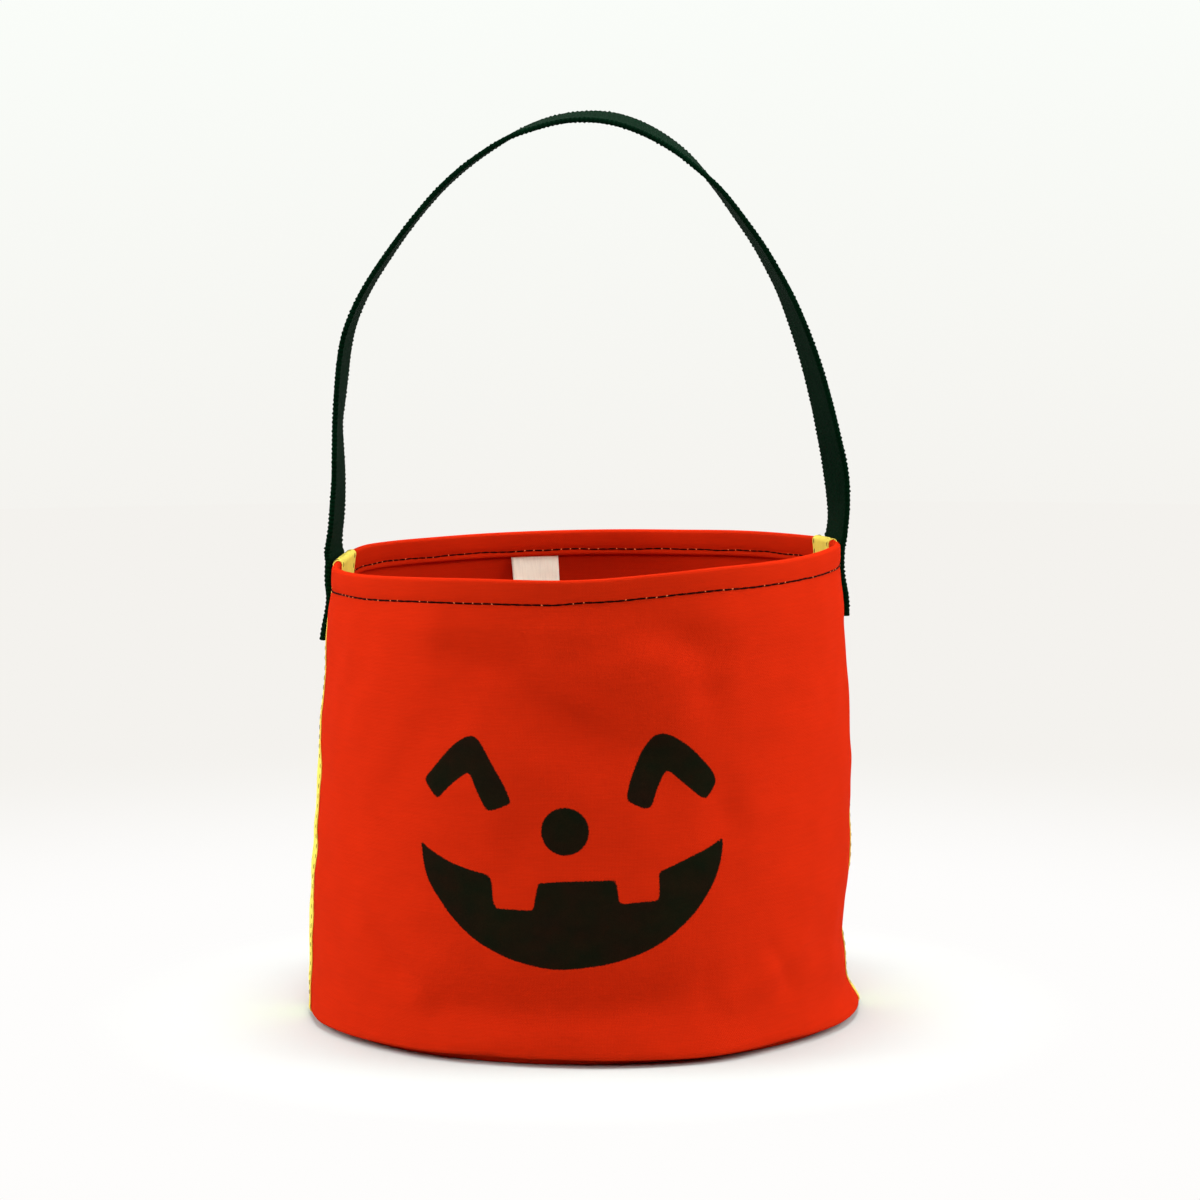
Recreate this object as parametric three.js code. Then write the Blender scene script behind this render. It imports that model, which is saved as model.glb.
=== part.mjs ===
// A sewn canvas bucket bag for trick or treating, standing on its round base with its webbing handle up.
// Two orange panels make the wall, a yellow tape covers each side seam and folds over the rim,
// and one length of black webbing is sewn to the outside of both tapes.
// Millimetres, +Z up, origin at the middle of the base on the floor. The printed side faces -Y.

import * as THREE from "three";
import { mergeVertices } from "three/addons/utils/BufferGeometryUtils.js";

const degrees = THREE.MathUtils.degToRad;
const lerp = THREE.MathUtils.lerp;

// Bucket
const baseDiameter = 232;
const mouthDiameter = 217;
const wallHeight = 194; // from the floor to the rim
const canvasThickness = 0.9;
const foldGap = 0.25; // air left between two layers of one folded cloth
const foldRadius = 0.2; // inside radius of a sharp fold
const seatGap = 0.3; // air left between two pieces that lie on each other

// Rim hem: the cloth turns in, then under, so three layers lie together
const hemDepth = 12;
const hemTuck = 8.5; // length of the layer tucked under

// Base seam: the wall turns in under the bag, then up beside the turned-up edge of the base
const cornerRadius = 3.5;
const seamAllowance = 10;
const wallLift = 2.2; // the bag stands on its base, so the wall's lowest fold clears the floor
const bindingThickness = 0.5;
const bindingDepth = 7.5;
const bindingHeadroom = 1; // space over the raw edges, inside the fold of the binding

// Side tapes
const tapeWidth = 25;
const tapeThickness = 0.6;
const tapeInnerLength = 14; // how far the tape runs down inside the mouth
const tapeUnderTurn = degrees(50); // how far the tape follows the corner in under the bag
const rimSetBack = degrees(13); // both side seams meet the rim this far behind the middle
const rimTwist = degrees(2); // the wall is turned by this much at the rim
const baseSetForward = degrees(1.5); // and the base this far in front of it
const baseTwist = degrees(6); // the wall is turned by this much where it meets the base
const seamButtGap = 0.5; // between the two panels, under the tape

// Handle
const webbingWidth = 25;
const webbingThickness = 2.1;
const webbingChamfer = 0.5;
const handleSetBack = degrees(13.5); // both ends are sewn on this far behind the middle
const handleRise = 183; // rim to the middle of the webbing at the top
const handleLean = 0.135; // how far the arch leans to the front for each millimetre up
const handleEndDrop = 30; // sewn length below the rim
const handleEndStand = 2; // sewn end's height above the rim
const flexLength = 28; // the stretch of webbing that bends when the handle swings

// Sewn-in label, left bare
const labelWidth = 22;
const labelLength = 28;
const labelThickness = 0.4;
const labelAngle = degrees(102.4); // where its middle lies round the bag, from +X

// The arch as it stands, from the left rim over the top to the right rim: share of the half span,
// share of the rise, and how many degrees the webbing's inner face is turned to the front.
const archShape = [
  [-1, 0, 13.5],
  [-0.976, 0.148, 8],
  [-0.972, 0.279, 2.5],
  [-0.943, 0.443, 6.3],
  [-0.87, 0.585, 6.6],
  [-0.704, 0.732, 6],
  [-0.481, 0.874, 6.8],
  [-0.235, 0.967, 4],
  [0.018, 1, 0.6],
  [0.252, 0.962, -1.6],
  [0.447, 0.877, 1],
  [0.61, 0.76, 8.3],
  [0.752, 0.623, 10.4],
  [0.854, 0.481, 14],
  [0.933, 0.317, 16.8],
  [0.982, 0.175, 19],
  [1, 0, 13.5],
];

// How finely the curved pieces are cut
const panelStations = 31;
const heightSteps = 6;
const baseSegments = 64;
const tapeStations = 7;
const endStations = 5;
const labelStations = 4;
const flexStations = 6;
const loopStations = 46;

const orangeCanvas = new THREE.MeshStandardMaterial({ color: 0xcf2c0f, roughness: 0.9, metalness: 0 });
const yellowTape = new THREE.MeshStandardMaterial({ color: 0xe8dc4a, roughness: 0.7, metalness: 0 });
const blackWebbing = new THREE.MeshStandardMaterial({ color: 0x0c1a12, roughness: 0.8, metalness: 0 });
const blackBinding = new THREE.MeshStandardMaterial({ color: 0x15130f, roughness: 0.9, metalness: 0 });
const creamLabel = new THREE.MeshStandardMaterial({ color: 0xecdfc4, roughness: 0.85, metalness: 0 });

const baseRadius = baseDiameter / 2;
const mouthRadius = mouthDiameter / 2;
const canvasHalf = canvasThickness / 2;
const layerPitch = canvasThickness + foldGap;
const hemThickness = 3 * canvasThickness + 2 * foldGap;
const seamTop = wallLift + seamAllowance;
const LEFT = -1;
const RIGHT = 1;

// The wall's outer radius at height z: straight up past the base seam, then tapering to the rim.
function wallRadius(z) {
  const share = THREE.MathUtils.clamp((z - seamTop) / (wallHeight - seamTop), 0, 1);
  return lerp(baseRadius, mouthRadius, share);
}

// A point at an angle round the bag and a height, set out from the wall's outer face.
function onWall(angle, z, out) {
  const r = wallRadius(z) + out;
  return new THREE.Vector3(r * Math.cos(angle), r * Math.sin(angle), z);
}

// The angle of a side seam at height z: turned and set forward at the base, set back at the rim.
function sideAngle(side, z) {
  const share = THREE.MathUtils.clamp(z / wallHeight, 0, 1);
  return side === RIGHT
    ? lerp(baseTwist - baseSetForward, rimTwist + rimSetBack, share)
    : Math.PI + lerp(baseTwist + baseSetForward, rimTwist - rimSetBack, share);
}

// Points along an arc, ends included.
function arc(x, y, radius, from, to, steps) {
  return Array.from({ length: steps + 1 }, (_, i) => {
    const a = lerp(from, to, i / steps);
    return new THREE.Vector2(x + radius * Math.cos(a), y + radius * Math.sin(a));
  });
}

// The outline of a cloth of even thickness whose middle follows a bent line.
function clothOutline(line, thickness) {
  const faces = line.map((p, i) => {
    const back = p.clone().sub(line[Math.max(i - 1, 0)]).normalize();
    const ahead = line[Math.min(i + 1, line.length - 1)].clone().sub(p).normalize();
    const along = back.clone().add(ahead).normalize();
    const mitre = thickness / 2 / along.dot(back.lengthSq() > 0 ? back : ahead);
    const normal = new THREE.Vector2(-along.y, along.x).multiplyScalar(mitre);
    return [p.clone().add(normal), p.clone().sub(normal)];
  });
  return [...faces.map((f) => f[0]), ...faces.map((f) => f[1]).reverse()];
}

// Turns a closed surface's faces outwards.
function facingOut(geometry) {
  const p = geometry.getAttribute("position");
  const index = geometry.index.array;
  const [a, b, c] = [new THREE.Vector3(), new THREE.Vector3(), new THREE.Vector3()];
  let volume = 0;
  for (let i = 0; i < index.length; i += 3) {
    a.fromBufferAttribute(p, index[i]);
    b.fromBufferAttribute(p, index[i + 1]);
    c.fromBufferAttribute(p, index[i + 2]);
    volume += a.dot(b.cross(c));
  }
  if (volume < 0) {
    for (let i = 0; i < index.length; i += 3) [index[i + 1], index[i + 2]] = [index[i + 2], index[i + 1]];
  }
  geometry.computeVertexNormals();
  return geometry;
}

// A solid through a row of like outlines. place(point, station) gives an outline point's place in space.
// The end faces are cut straight across the outline, from its first half to its second half.
function sweep(outline, stations, place) {
  const n = outline.length;
  const positions = [];
  for (let j = 0; j < stations; j++) for (const q of outline) positions.push(...place(q, j).toArray());
  const index = [];
  for (let j = 0; j < stations - 1; j++) {
    const next = (j + 1) * n;
    for (let i = 0; i < n; i++) {
      const k = (i + 1) % n;
      index.push(j * n + i, j * n + k, next + k, j * n + i, next + k, next + i);
    }
  }
  const last = (stations - 1) * n;
  for (let i = 0; i < n / 2 - 1; i++) {
    const [a, b, c, d] = [i, i + 1, n - 2 - i, n - 1 - i];
    index.push(a, c, b, a, d, c, last + a, last + b, last + c, last + a, last + c, last + d);
  }
  const geometry = new THREE.BufferGeometry();
  geometry.setAttribute("position", new THREE.Float32BufferAttribute(positions, 3));
  geometry.setIndex(index);
  return facingOut(geometry);
}

// A round piece from an outline of radius and height. An outline that starts on the axis ends there too.
function turned(outline) {
  const points = outline[0].x === 0 ? outline : [...outline, outline[0].clone()];
  const lathe = new THREE.LatheGeometry(points, baseSegments);
  lathe.deleteAttribute("normal");
  lathe.deleteAttribute("uv");
  const merged = mergeVertices(lathe, 1e-4);
  const corners = merged.index.array;
  const kept = [];
  for (let i = 0; i < corners.length; i += 3) {
    const [a, b, c] = [corners[i], corners[i + 1], corners[i + 2]];
    if (a !== b && b !== c && a !== c) kept.push(a, b, c);
  }
  merged.setIndex(kept);
  merged.rotateX(Math.PI / 2);
  return facingOut(merged);
}

function part(name, geometry, material) {
  const mesh = new THREE.Mesh(geometry, material);
  mesh.name = name;
  return mesh;
}

// Wall panels

const allowanceLine = -cornerRadius - foldRadius - canvasHalf; // middle of the wall's turned-up edge

// The line that the wall's cloth follows from its seam allowance to its tucked raw edge,
// as distance out from the wall's outer face and height.
function panelLine() {
  const bend = foldRadius + canvasHalf;
  const wallStart = wallLift + cornerRadius;
  const hemBottom = wallHeight - hemDepth;
  const foldTop = wallHeight - hemThickness / 2;
  const wall = Array.from({ length: heightSteps }, (_, i) => {
    return new THREE.Vector2(-canvasHalf, lerp(wallStart, hemBottom, (i + 1) / heightSteps));
  });
  return [
    new THREE.Vector2(allowanceLine, seamTop),
    ...arc(-cornerRadius, wallLift + canvasHalf + bend, bend, Math.PI, 1.5 * Math.PI, 3),
    ...arc(-cornerRadius, wallStart, cornerRadius - canvasHalf, -Math.PI / 2, 0, 4).slice(1),
    ...wall,
    ...arc(-canvasHalf - layerPitch, foldTop, layerPitch, 0, Math.PI, 6),
    ...arc(
      -canvasHalf - 1.5 * layerPitch,
      hemBottom + canvasHalf + layerPitch / 2,
      layerPitch / 2,
      -Math.PI,
      0,
      4,
    ),
    new THREE.Vector2(-canvasHalf - layerPitch, hemBottom + hemTuck),
  ];
}

// A wall panel between two side seams, the long way round from one to the other.
function panel(name, fromSide, toSide) {
  return part(
    name,
    sweep(clothOutline(panelLine(), canvasThickness), panelStations, (q, j) => {
      const butt = seamButtGap / 2 / wallRadius(q.y);
      const from = sideAngle(fromSide, q.y) + butt;
      const to = sideAngle(toSide, q.y) + (fromSide === LEFT ? 2 * Math.PI : 0) - butt;
      return onWall(lerp(from, to, j / (panelStations - 1)), q.y, q.x);
    }),
    orangeCanvas,
  );
}

// Base

const baseEdge = baseRadius + allowanceLine - canvasHalf - seatGap; // outer face of its turned-up edge

// The base cloth: a flat round with its edge turned up inside the wall's allowance.
function basePanel() {
  const bend = foldRadius + canvasHalf;
  const flange = baseEdge - canvasHalf;
  const edge = clothOutline(
    [
      ...arc(flange - bend, canvasHalf + bend, bend, -Math.PI / 2, 0, 4),
      new THREE.Vector2(flange, seamTop),
    ],
    canvasThickness,
  );
  edge[0].y = canvasThickness;
  edge[edge.length - 1].y = 0;
  const middle = [new THREE.Vector2(0, canvasThickness), new THREE.Vector2(0, 0)];
  return part("base_panel", turned([middle[0], ...edge, middle[1]]), orangeCanvas);
}

// Bias binding folded over the raw edges of the base seam.
function baseBinding() {
  const half = bindingThickness / 2;
  const outer = baseRadius + allowanceLine + canvasHalf + seatGap + half;
  const inner = baseEdge - canvasThickness - seatGap - half;
  const radius = (outer - inner) / 2;
  const foldStart = seamTop + seatGap + half + bindingHeadroom - radius;
  const bottom = foldStart + radius - bindingDepth;
  const line = [
    new THREE.Vector2(outer, bottom),
    ...arc((outer + inner) / 2, foldStart, radius, 0, Math.PI, 6),
    new THREE.Vector2(inner, bottom),
  ];
  return part("base_binding", turned(clothOutline(line, bindingThickness)), blackBinding);
}

// Side tapes

// The line that a tape follows from under the corner, up the wall, over the rim and down inside.
function tapeLine() {
  const out = seatGap + tapeThickness / 2;
  const wallStart = wallLift + cornerRadius;
  const foldTop = wallHeight - hemThickness / 2;
  const wall = Array.from({ length: heightSteps - 1 }, (_, i) => {
    return new THREE.Vector2(out, lerp(wallStart, foldTop, (i + 1) / heightSteps));
  });
  return [
    ...arc(-cornerRadius, wallStart, cornerRadius + out, -tapeUnderTurn, 0, 3),
    ...wall,
    ...arc(-hemThickness / 2, foldTop, hemThickness / 2 + out, 0, Math.PI, 6),
    new THREE.Vector2(-hemThickness - out, wallHeight - tapeInnerLength),
  ];
}

function sideTape(name, side) {
  return part(
    name,
    sweep(clothOutline(tapeLine(), tapeThickness), tapeStations, (q, j) => {
      const across = lerp(-tapeWidth / 2, tapeWidth / 2, j / (tapeStations - 1));
      return onWall(sideAngle(side, q.y) + across / wallRadius(q.y), q.y, q.x);
    }),
    yellowTape,
  );
}

// Handle

const endOut = seatGap + tapeThickness + seatGap + webbingThickness / 2;
const halfSpan = (mouthRadius + endOut) * Math.cos(handleSetBack);
const archBack = (mouthRadius + endOut) * Math.sin(handleSetBack);

const archLine = new THREE.CatmullRomCurve3(
  archShape.map(([across, up]) => {
    const rise = up * handleRise;
    return new THREE.Vector3(across * halfSpan, archBack - rise * handleLean, wallHeight + rise);
  }),
  false,
  "catmullrom",
);
const archTwist = new THREE.CatmullRomCurve3(
  archShape.map(([, , twist]) => new THREE.Vector3(degrees(twist), 0, 0)),
  false,
  "catmullrom",
);
const archNormal = new THREE.Vector3(0, 1, handleLean).normalize();

// Where along the arch, from 0 to 1, one leg passes a height over the rim.
function archAt(side, rise) {
  let [low, high] = side === LEFT ? [0, 0.4] : [1, 0.6];
  for (let i = 0; i < 40; i++) {
    const middle = (low + high) / 2;
    if (archLine.getPoint(middle).z - wallHeight < rise) low = middle;
    else high = middle;
  }
  return (low + high) / 2;
}

// How the webbing lies at a share of the arch: its direction, and across its width to the back.
function archFrame(t) {
  const along = archLine.getTangent(t);
  const across = archNormal.clone().applyAxisAngle(along, -archTwist.getPoint(t).x);
  return { along, across };
}

// The webbing's section: a flat strip with eased edges, x through it and y across it.
function webbingSection() {
  const [t, w, c] = [webbingThickness / 2, webbingWidth / 2, webbingChamfer];
  return [
    [t, -w + c],
    [t, w - c],
    [t - c, w],
    [-t + c, w],
    [-t, w - c],
    [-t, -w + c],
    [-t + c, -w],
    [t - c, -w],
  ].map(([x, y]) => new THREE.Vector2(x, y));
}

// A stretch of the handle between two shares of its arch.
function archStretch(name, from, to, stations) {
  return part(
    name,
    sweep(webbingSection(), stations, (q, j) => {
      const t = lerp(from, to, j / (stations - 1));
      const { along, across } = archFrame(t);
      const through = along.clone().cross(across).normalize();
      return archLine.getPoint(t).addScaledVector(through, q.x).addScaledVector(across, q.y);
    }),
    blackWebbing,
  );
}

// A sewn end of the webbing, flat on the outside of its tape.
// Towards the rim its width comes to slope as it does where the arch starts.
function handleEnd(name, side) {
  const foot = wallHeight - handleEndDrop;
  const line = Array.from({ length: heightSteps + 1 }, (_, i) => {
    return new THREE.Vector2(endOut, lerp(foot, wallHeight + handleEndStand, i / heightSteps));
  });
  const start = archFrame(archAt(side, handleEndStand + seatGap)).across;
  const slope = start.z / Math.hypot(start.x, start.y);
  return part(
    name,
    sweep(clothOutline(line, webbingThickness), endStations, (q, j) => {
      const across = lerp(-webbingWidth / 2, webbingWidth / 2, j / (endStations - 1));
      const back = Math.asin(archBack / (wallRadius(q.y) + endOut));
      const angle = side === RIGHT ? back : Math.PI - back;
      const share = (q.y - foot) / (handleEndDrop + handleEndStand);
      const z = q.y + across * slope * share;
      return onWall(angle + (side * across) / (wallRadius(z) + q.x), z, q.x);
    }),
    blackWebbing,
  );
}

// Label

// A bare cloth label that hangs from under the back hem, inside the mouth.
function innerLabel() {
  const top = wallHeight - hemDepth - seatGap;
  const out = -canvasThickness - seatGap - labelThickness / 2;
  const line = [new THREE.Vector2(out, top - labelLength), new THREE.Vector2(out, top)];
  return part(
    "inner_label",
    sweep(clothOutline(line, labelThickness), labelStations, (q, j) => {
      const across = lerp(-labelWidth / 2, labelWidth / 2, j / (labelStations - 1));
      return onWall(labelAngle + across / wallRadius(q.y), q.y, q.x);
    }),
    creamLabel,
  );
}

const bag = new THREE.Group();
bag.add(
  panel("front_panel", LEFT, RIGHT),
  panel("back_panel", RIGHT, LEFT),
  basePanel(),
  baseBinding(),
  innerLabel(),
);
const flexFoot = handleEndStand + seatGap;
const loopFoot = flexFoot + flexLength + seatGap;
for (const [word, side] of [["left", LEFT], ["right", RIGHT]]) {
  bag.add(
    sideTape(`${word}_side_tape`, side),
    handleEnd(`${word}_handle_end`, side),
    archStretch(
      `${word}_handle_flex`,
      archAt(side, flexFoot),
      archAt(side, flexFoot + flexLength),
      flexStations,
    ),
  );
}
bag.add(archStretch("handle_loop", archAt(LEFT, loopFoot), archAt(RIGHT, loopFoot), loopStations));

export default bag;
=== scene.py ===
# %% [markdown]
# # A canvas bucket bag for trick or treating
# Two orange canvas panels are sewn into a round wall on a round base. A yellow tape covers each side
# seam and folds over the rim, and one length of black webbing is sewn on as the handle. Real cloth is
# about a millimetre thick and folds where it is sewn, so each piece here is a sheet with a thickness
# that follows the folds of the real one: hem, seam allowance and tape ends are modelled, not painted.

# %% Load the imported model, which fixes the size and the place of everything
import math
import random

import bpy
import numpy as np
from mathutils import Matrix, Vector


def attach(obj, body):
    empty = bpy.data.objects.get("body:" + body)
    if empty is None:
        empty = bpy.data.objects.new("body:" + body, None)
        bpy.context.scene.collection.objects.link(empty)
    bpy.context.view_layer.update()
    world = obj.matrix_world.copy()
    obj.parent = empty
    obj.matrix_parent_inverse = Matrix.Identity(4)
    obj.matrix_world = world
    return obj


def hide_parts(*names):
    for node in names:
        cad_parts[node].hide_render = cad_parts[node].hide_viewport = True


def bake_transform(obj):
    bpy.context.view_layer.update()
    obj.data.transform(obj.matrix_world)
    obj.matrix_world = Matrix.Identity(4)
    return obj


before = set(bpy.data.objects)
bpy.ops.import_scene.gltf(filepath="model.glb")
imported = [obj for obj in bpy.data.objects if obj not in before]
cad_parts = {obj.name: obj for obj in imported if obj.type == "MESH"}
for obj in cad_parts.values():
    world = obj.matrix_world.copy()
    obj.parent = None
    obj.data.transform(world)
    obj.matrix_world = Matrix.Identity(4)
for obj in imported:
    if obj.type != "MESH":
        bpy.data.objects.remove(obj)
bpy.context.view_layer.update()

# %% [markdown]
# ## Millimetres, smooth tables and small random swells
# The shape is written in millimetres, as a maker would note it, and turned to metres only when a mesh
# is made. Many shapes here are short tables of places and values, read with their corners eased. A
# seeded sum of waves gives the low swells that any soft wall has, the same ones at each run.

# %% Helpers for tables, lines, angles and swells
MM = 0.001
WAVES = 14  # in one field of swells


def eased(table, at, blur, period=None):
    """Reads a table of (place, value) pairs, its corners rounded over the blur on each side."""
    places, values = zip(*table)
    steps = np.linspace(-1, 1, 9)
    shares = np.exp(-2 * steps**2)
    shares /= shares.sum()
    return sum(
        share * np.interp(at + blur * step, places, values, period=period)
        for share, step in zip(shares, steps)
    )


def bump(distance, width):
    """A soft bump: 1 where the distance is 0, and close to 0 from two widths on."""
    return np.exp(-((distance / width) ** 2))


def unit(vectors):
    return vectors / np.maximum(np.linalg.norm(vectors, axis=-1, keepdims=True), 1e-9)


def outward_of(angle):
    """The level way out from the bag's middle line at an angle in degrees."""
    turn = np.radians(angle)
    return np.stack([np.cos(turn), np.sin(turn), 0 * turn], -1)


def lengths_along(line):
    """The length of a line from its first point to each point."""
    return np.concatenate([[0], np.cumsum(np.linalg.norm(np.diff(line, axis=0), axis=1))])


def read_along(values, places, at):
    """Rows of values that are known at some places, read at others in between."""
    return np.stack([np.interp(at, places, values[:, k]) for k in range(values.shape[1])], 1)


def link(name, data):
    """A new object with the data, linked to the scene."""
    made = bpy.data.objects.new(name, data)
    bpy.context.scene.collection.objects.link(made)
    return made


def swells(x, y, seed, shortest, longest):
    """A smooth uneven field from -1 to 1 or so, made of seeded waves of the given lengths in mm."""
    draw = random.Random(seed)
    field = 0
    for _ in range(WAVES):
        length = draw.uniform(shortest, longest)
        turn, shift = draw.uniform(0, math.tau), draw.uniform(0, math.tau)
        field = field + np.sin(
            math.tau * (x * math.cos(turn) + y * math.sin(turn)) / length + shift
        )
    return field / math.sqrt(WAVES)


print("swells at the middle of the front:", round(float(swells(0.0, 100.0, 1, 40, 90)), 3))

# %% [markdown]
# ## The camera
# The camera stands 1.6 m in front of the bag, at the height of the handle's upper half, and looks down
# 6.2 degrees with a long lens. It is turned a quarter of a degree to the right, so the bag is a little
# left of the middle.

# %% Set up the camera
CAMERA_AT = (0.0, -1614.0, 350.5)
LOOK_DOWN, TURN_RIGHT, ROLL = 6.2376, 0.2456, 0.23  # degrees
LENS, FILM_WIDTH = 115.46, 36


def place_camera():
    """A camera on a 36 mm frame, with its roll made before it is tipped and turned."""
    data = bpy.data.cameras.new("long_lens")
    data.lens, data.sensor_width, data.clip_end = LENS, FILM_WIDTH, 50
    camera = link("camera", data)
    camera.matrix_world = (
        Matrix.Translation([x * MM for x in CAMERA_AT])
        @ Matrix.Rotation(math.radians(-TURN_RIGHT), 4, "Z")
        @ Matrix.Rotation(math.radians(90 - LOOK_DOWN), 4, "X")
        @ Matrix.Rotation(math.radians(-ROLL), 4, "Z")
    )
    bpy.context.scene.camera = camera
    return camera


camera = place_camera()
print("camera", [round(x, 3) for x in camera.location], "lens", camera.data.lens)

# %% [markdown]
# ## The shape of the wall
# A cone from 232 mm across at the base to 217 mm at the mouth is only the start. The bag leans 1 mm
# to the right, its rim is 9 mm higher at the right front than at the left, the side by the base seam
# is pushed in 6 mm on the right, and the canvas has soft valleys where it was folded and bent. The bag
# stands on its base, and the wall's lowest fold clears the floor by 2 mm, so heights on the wall are
# taken from that fold. The angle runs from +X towards the back: the front is at -90, the left at 180.

# %% The wall's outer face
BASE_RADIUS, MOUTH_RADIUS, WALL_HEIGHT, SEAM_TOP = 116.0, 108.5, 192.0, 10.2
CLEAR = 2.0  # from the floor to the wall's lowest fold
LEAN_RIGHT = 1.17
FRONT, BACK = -90, 90
ARC_MM = 112 * math.pi / 180  # millimetres of wall for each degree round the bag

# How far the wall stands out (+) or in (-) beside each side seam, by height.
LEFT_SAG_AT, RIGHT_SAG_AT = 184, -2
LEFT_SAG = [
    (0, 0.0), (7, 0.3), (12, 1.0), (38, 1.5), (59, 1.3), (69, 0.6), (79, 1.2), (90, 1.0), (100, 0.5),
    (125, 0.1), (135, -0.8), (146, -1.2), (151, -1.0), (156, -1.0), (169, -0.8), (177, -1.2), (186, -0.6),
]
RIGHT_SAG = [
    (0, 0.5), (3, -0.6), (6, -3.0), (11, -5.4), (16, -5.3), (22, -5.5), (32, -6.6), (37, -6.5), (42, -5.8),
    (48, -4.8), (53, -3.7), (58, -2.6), (63, -2.0), (73, -1.4), (84, -0.9), (94, -0.3), (104, 0.3),
    (135, 0.2), (145, -0.4), (160, -1.2), (165, -0.9), (175, -1.4), (186, -1.0), (192, -0.6),
]
# The rim's height by the angle round the bag.
RIM_HEIGHT = [
    (0, 196.3), (15, 195.7), (29, 194.8), (50, 194.0), (67, 192.9), (90, 192.4), (111, 191.9), (130, 191.5),
    (156, 191.9), (166, 189.9), (175, 188.1), (184, 187.9), (195, 188.1), (209, 188.8), (233, 190.8),
    (247, 191.6), (264, 191.4), (273, 192.0), (283, 193.4), (299, 195.3), (325, 196.1), (340, 196.9),
    (350, 196.9),
]
# How far the wall's lowest fold rolls outwards, by the angle round the bag.
ROLL_OUT = [
    (0, 0.4), (60, 1.0), (120, 1.0), (184, 0.6), (200, 2.7), (212, 1.9), (226, 1.6), (236, 2.4), (249, 0.9),
    (261, 0.8), (273, 2.4), (284, 3.8), (297, 5.3), (311, 1.0), (320, 0.2), (338, 1.0),
]
# How much further that fold clears the floor, by the same angle.
RAISED = [
    (0, 0), (190, 0), (201, -0.2), (212, 0), (226, 0.4), (238, 0.7), (246, 1.6), (250, 2.4), (254, 1.5),
    (262, 1.5), (272, 0.9), (282, 0.5), (292, 0), (306, 0.5), (315, 1.3), (324, 0.4), (334, 0),
]
ROLL_TOP, FOLDED_IN = 18.0, 4.15
# Valleys (-) and ridges (+) of the front: from, to, half width and height, all in mm. The first number
# of a place is mm of wall to the right of the front's middle, and the second is its height.
CREASES = [
    ((-40, 150), (34, 114), 23, -4.6),
    ((-44, 130), (8, 103), 11, 1.8),
    ((-57, 162), (-27, 159), 8, -4.0),
    ((-27, 158), (26, 121), 9, -3.0),
    ((22, 171), (57, 160), 8, -3.2),
    ((-6, 150), (30, 158), 9, 2.2),
    ((50, 150), (54, 138), 9, -2.0),
    ((-58, 21), (46, 26), 10, -4.8),
    ((-94, 44), (-76, 28), 6, -2.6),
    ((62, 20), (97, 38), 6, 2.0),
    ((80, 40), (92, 24), 5, -1.4),
    ((56, 102), (62, 92), 8, -1.6),
    ((-70, 132), (-92, 96), 9, -1.0),
    ((-40, 88), (-16, 84), 8, -1.2),
]


def around(angle, centre):
    """Degrees from the centre to the angle, the short way round."""
    return (angle - centre + 180) % 360 - 180


def rim_height(angle):
    return eased(RIM_HEIGHT, angle % 360, 7, period=360)


def taper(height):
    share = np.clip((height - SEAM_TOP) / (WALL_HEIGHT - SEAM_TOP), 0, 1)
    return BASE_RADIUS - (BASE_RADIUS - MOUTH_RADIUS) * share


def wall_radius(angle, height):
    """The outer face's distance from the bag's middle line, with every sag, dent and crease."""
    across = around(angle, FRONT) * ARC_MM
    # The swells die out at the base seam, and mostly at the hem.
    free = np.clip((height - 4) / 16, 0, 1) * np.clip((194 - height) / 20, 0.25, 1)
    sag = eased(LEFT_SAG, height, 4) * bump(around(angle, LEFT_SAG_AT), 42)
    sag = sag + eased(RIGHT_SAG, height, 3) * bump(around(angle, RIGHT_SAG_AT), 32)
    for (x0, z0), (x1, z1), width, lift in CREASES:
        run = np.array([x1 - x0, z1 - z0], float)
        share = np.clip(((across - x0) * run[0] + (height - z0) * run[1]) / (run @ run), 0, 1)
        off = np.hypot(across - x0 - share * run[0], height - z0 - share * run[1])
        sag = sag + lift * (0.55 + 0.45 * np.sin(np.pi * share)) * bump(off, width)
    # The flat map's ends meet at the back, so other swells take over there.
    front = swells(across, height, 5, 45, 110) * 0.45 + swells(across, height, 9, 14, 30) * 0.2
    back = swells(around(angle, BACK) * ARC_MM, height, 6, 45, 110) * 0.55
    at_back = bump(around(angle, BACK), 60)
    return taper(height) + sag + free * (front * (1 - at_back) + back * at_back)


def wall_point(angle, height, out):
    """A point set out from the wall's outer face, in mm. Heights are stretched to meet the rim."""
    low = np.clip((ROLL_TOP - height) / (ROLL_TOP - 2), 0, 1) ** 1.5
    rolled = eased(ROLL_OUT, angle % 360, 5, period=360) * low
    outer = np.clip((out + FOLDED_IN) / FOLDED_IN, 0, 1)  # the folded-in edge stays by the base
    radius = wall_radius(angle, height) + out + rolled * outer
    turn = np.radians(angle)
    share = np.clip(height / WALL_HEIGHT, 0, None)
    z = CLEAR + height + (rim_height(angle) - WALL_HEIGHT) * share**1.5
    z = z + eased(RAISED, angle % 360, 2, period=360) * low * outer
    return np.stack(
        [radius * np.cos(turn) + LEAN_RIGHT * share, radius * np.sin(turn), z * np.ones_like(radius)], -1
    )


print("rim from", round(float(rim_height(209)), 1), "to", round(float(rim_height(345)), 1), "mm high")

# %% [markdown]
# ## Cloth with a thickness
# A sheet alone would have no edge, and cloth shows its edges. So the middle of each cloth is laid out
# as a grid of points, both faces are set half a thickness off it, and a row of points rounds each long
# edge. The places on the flat cloth in millimetres are kept as a UV map, which the weave follows.

# %% Turn a grid of points into cloth
WEAVE_MAP = "cloth_mm"


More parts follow.
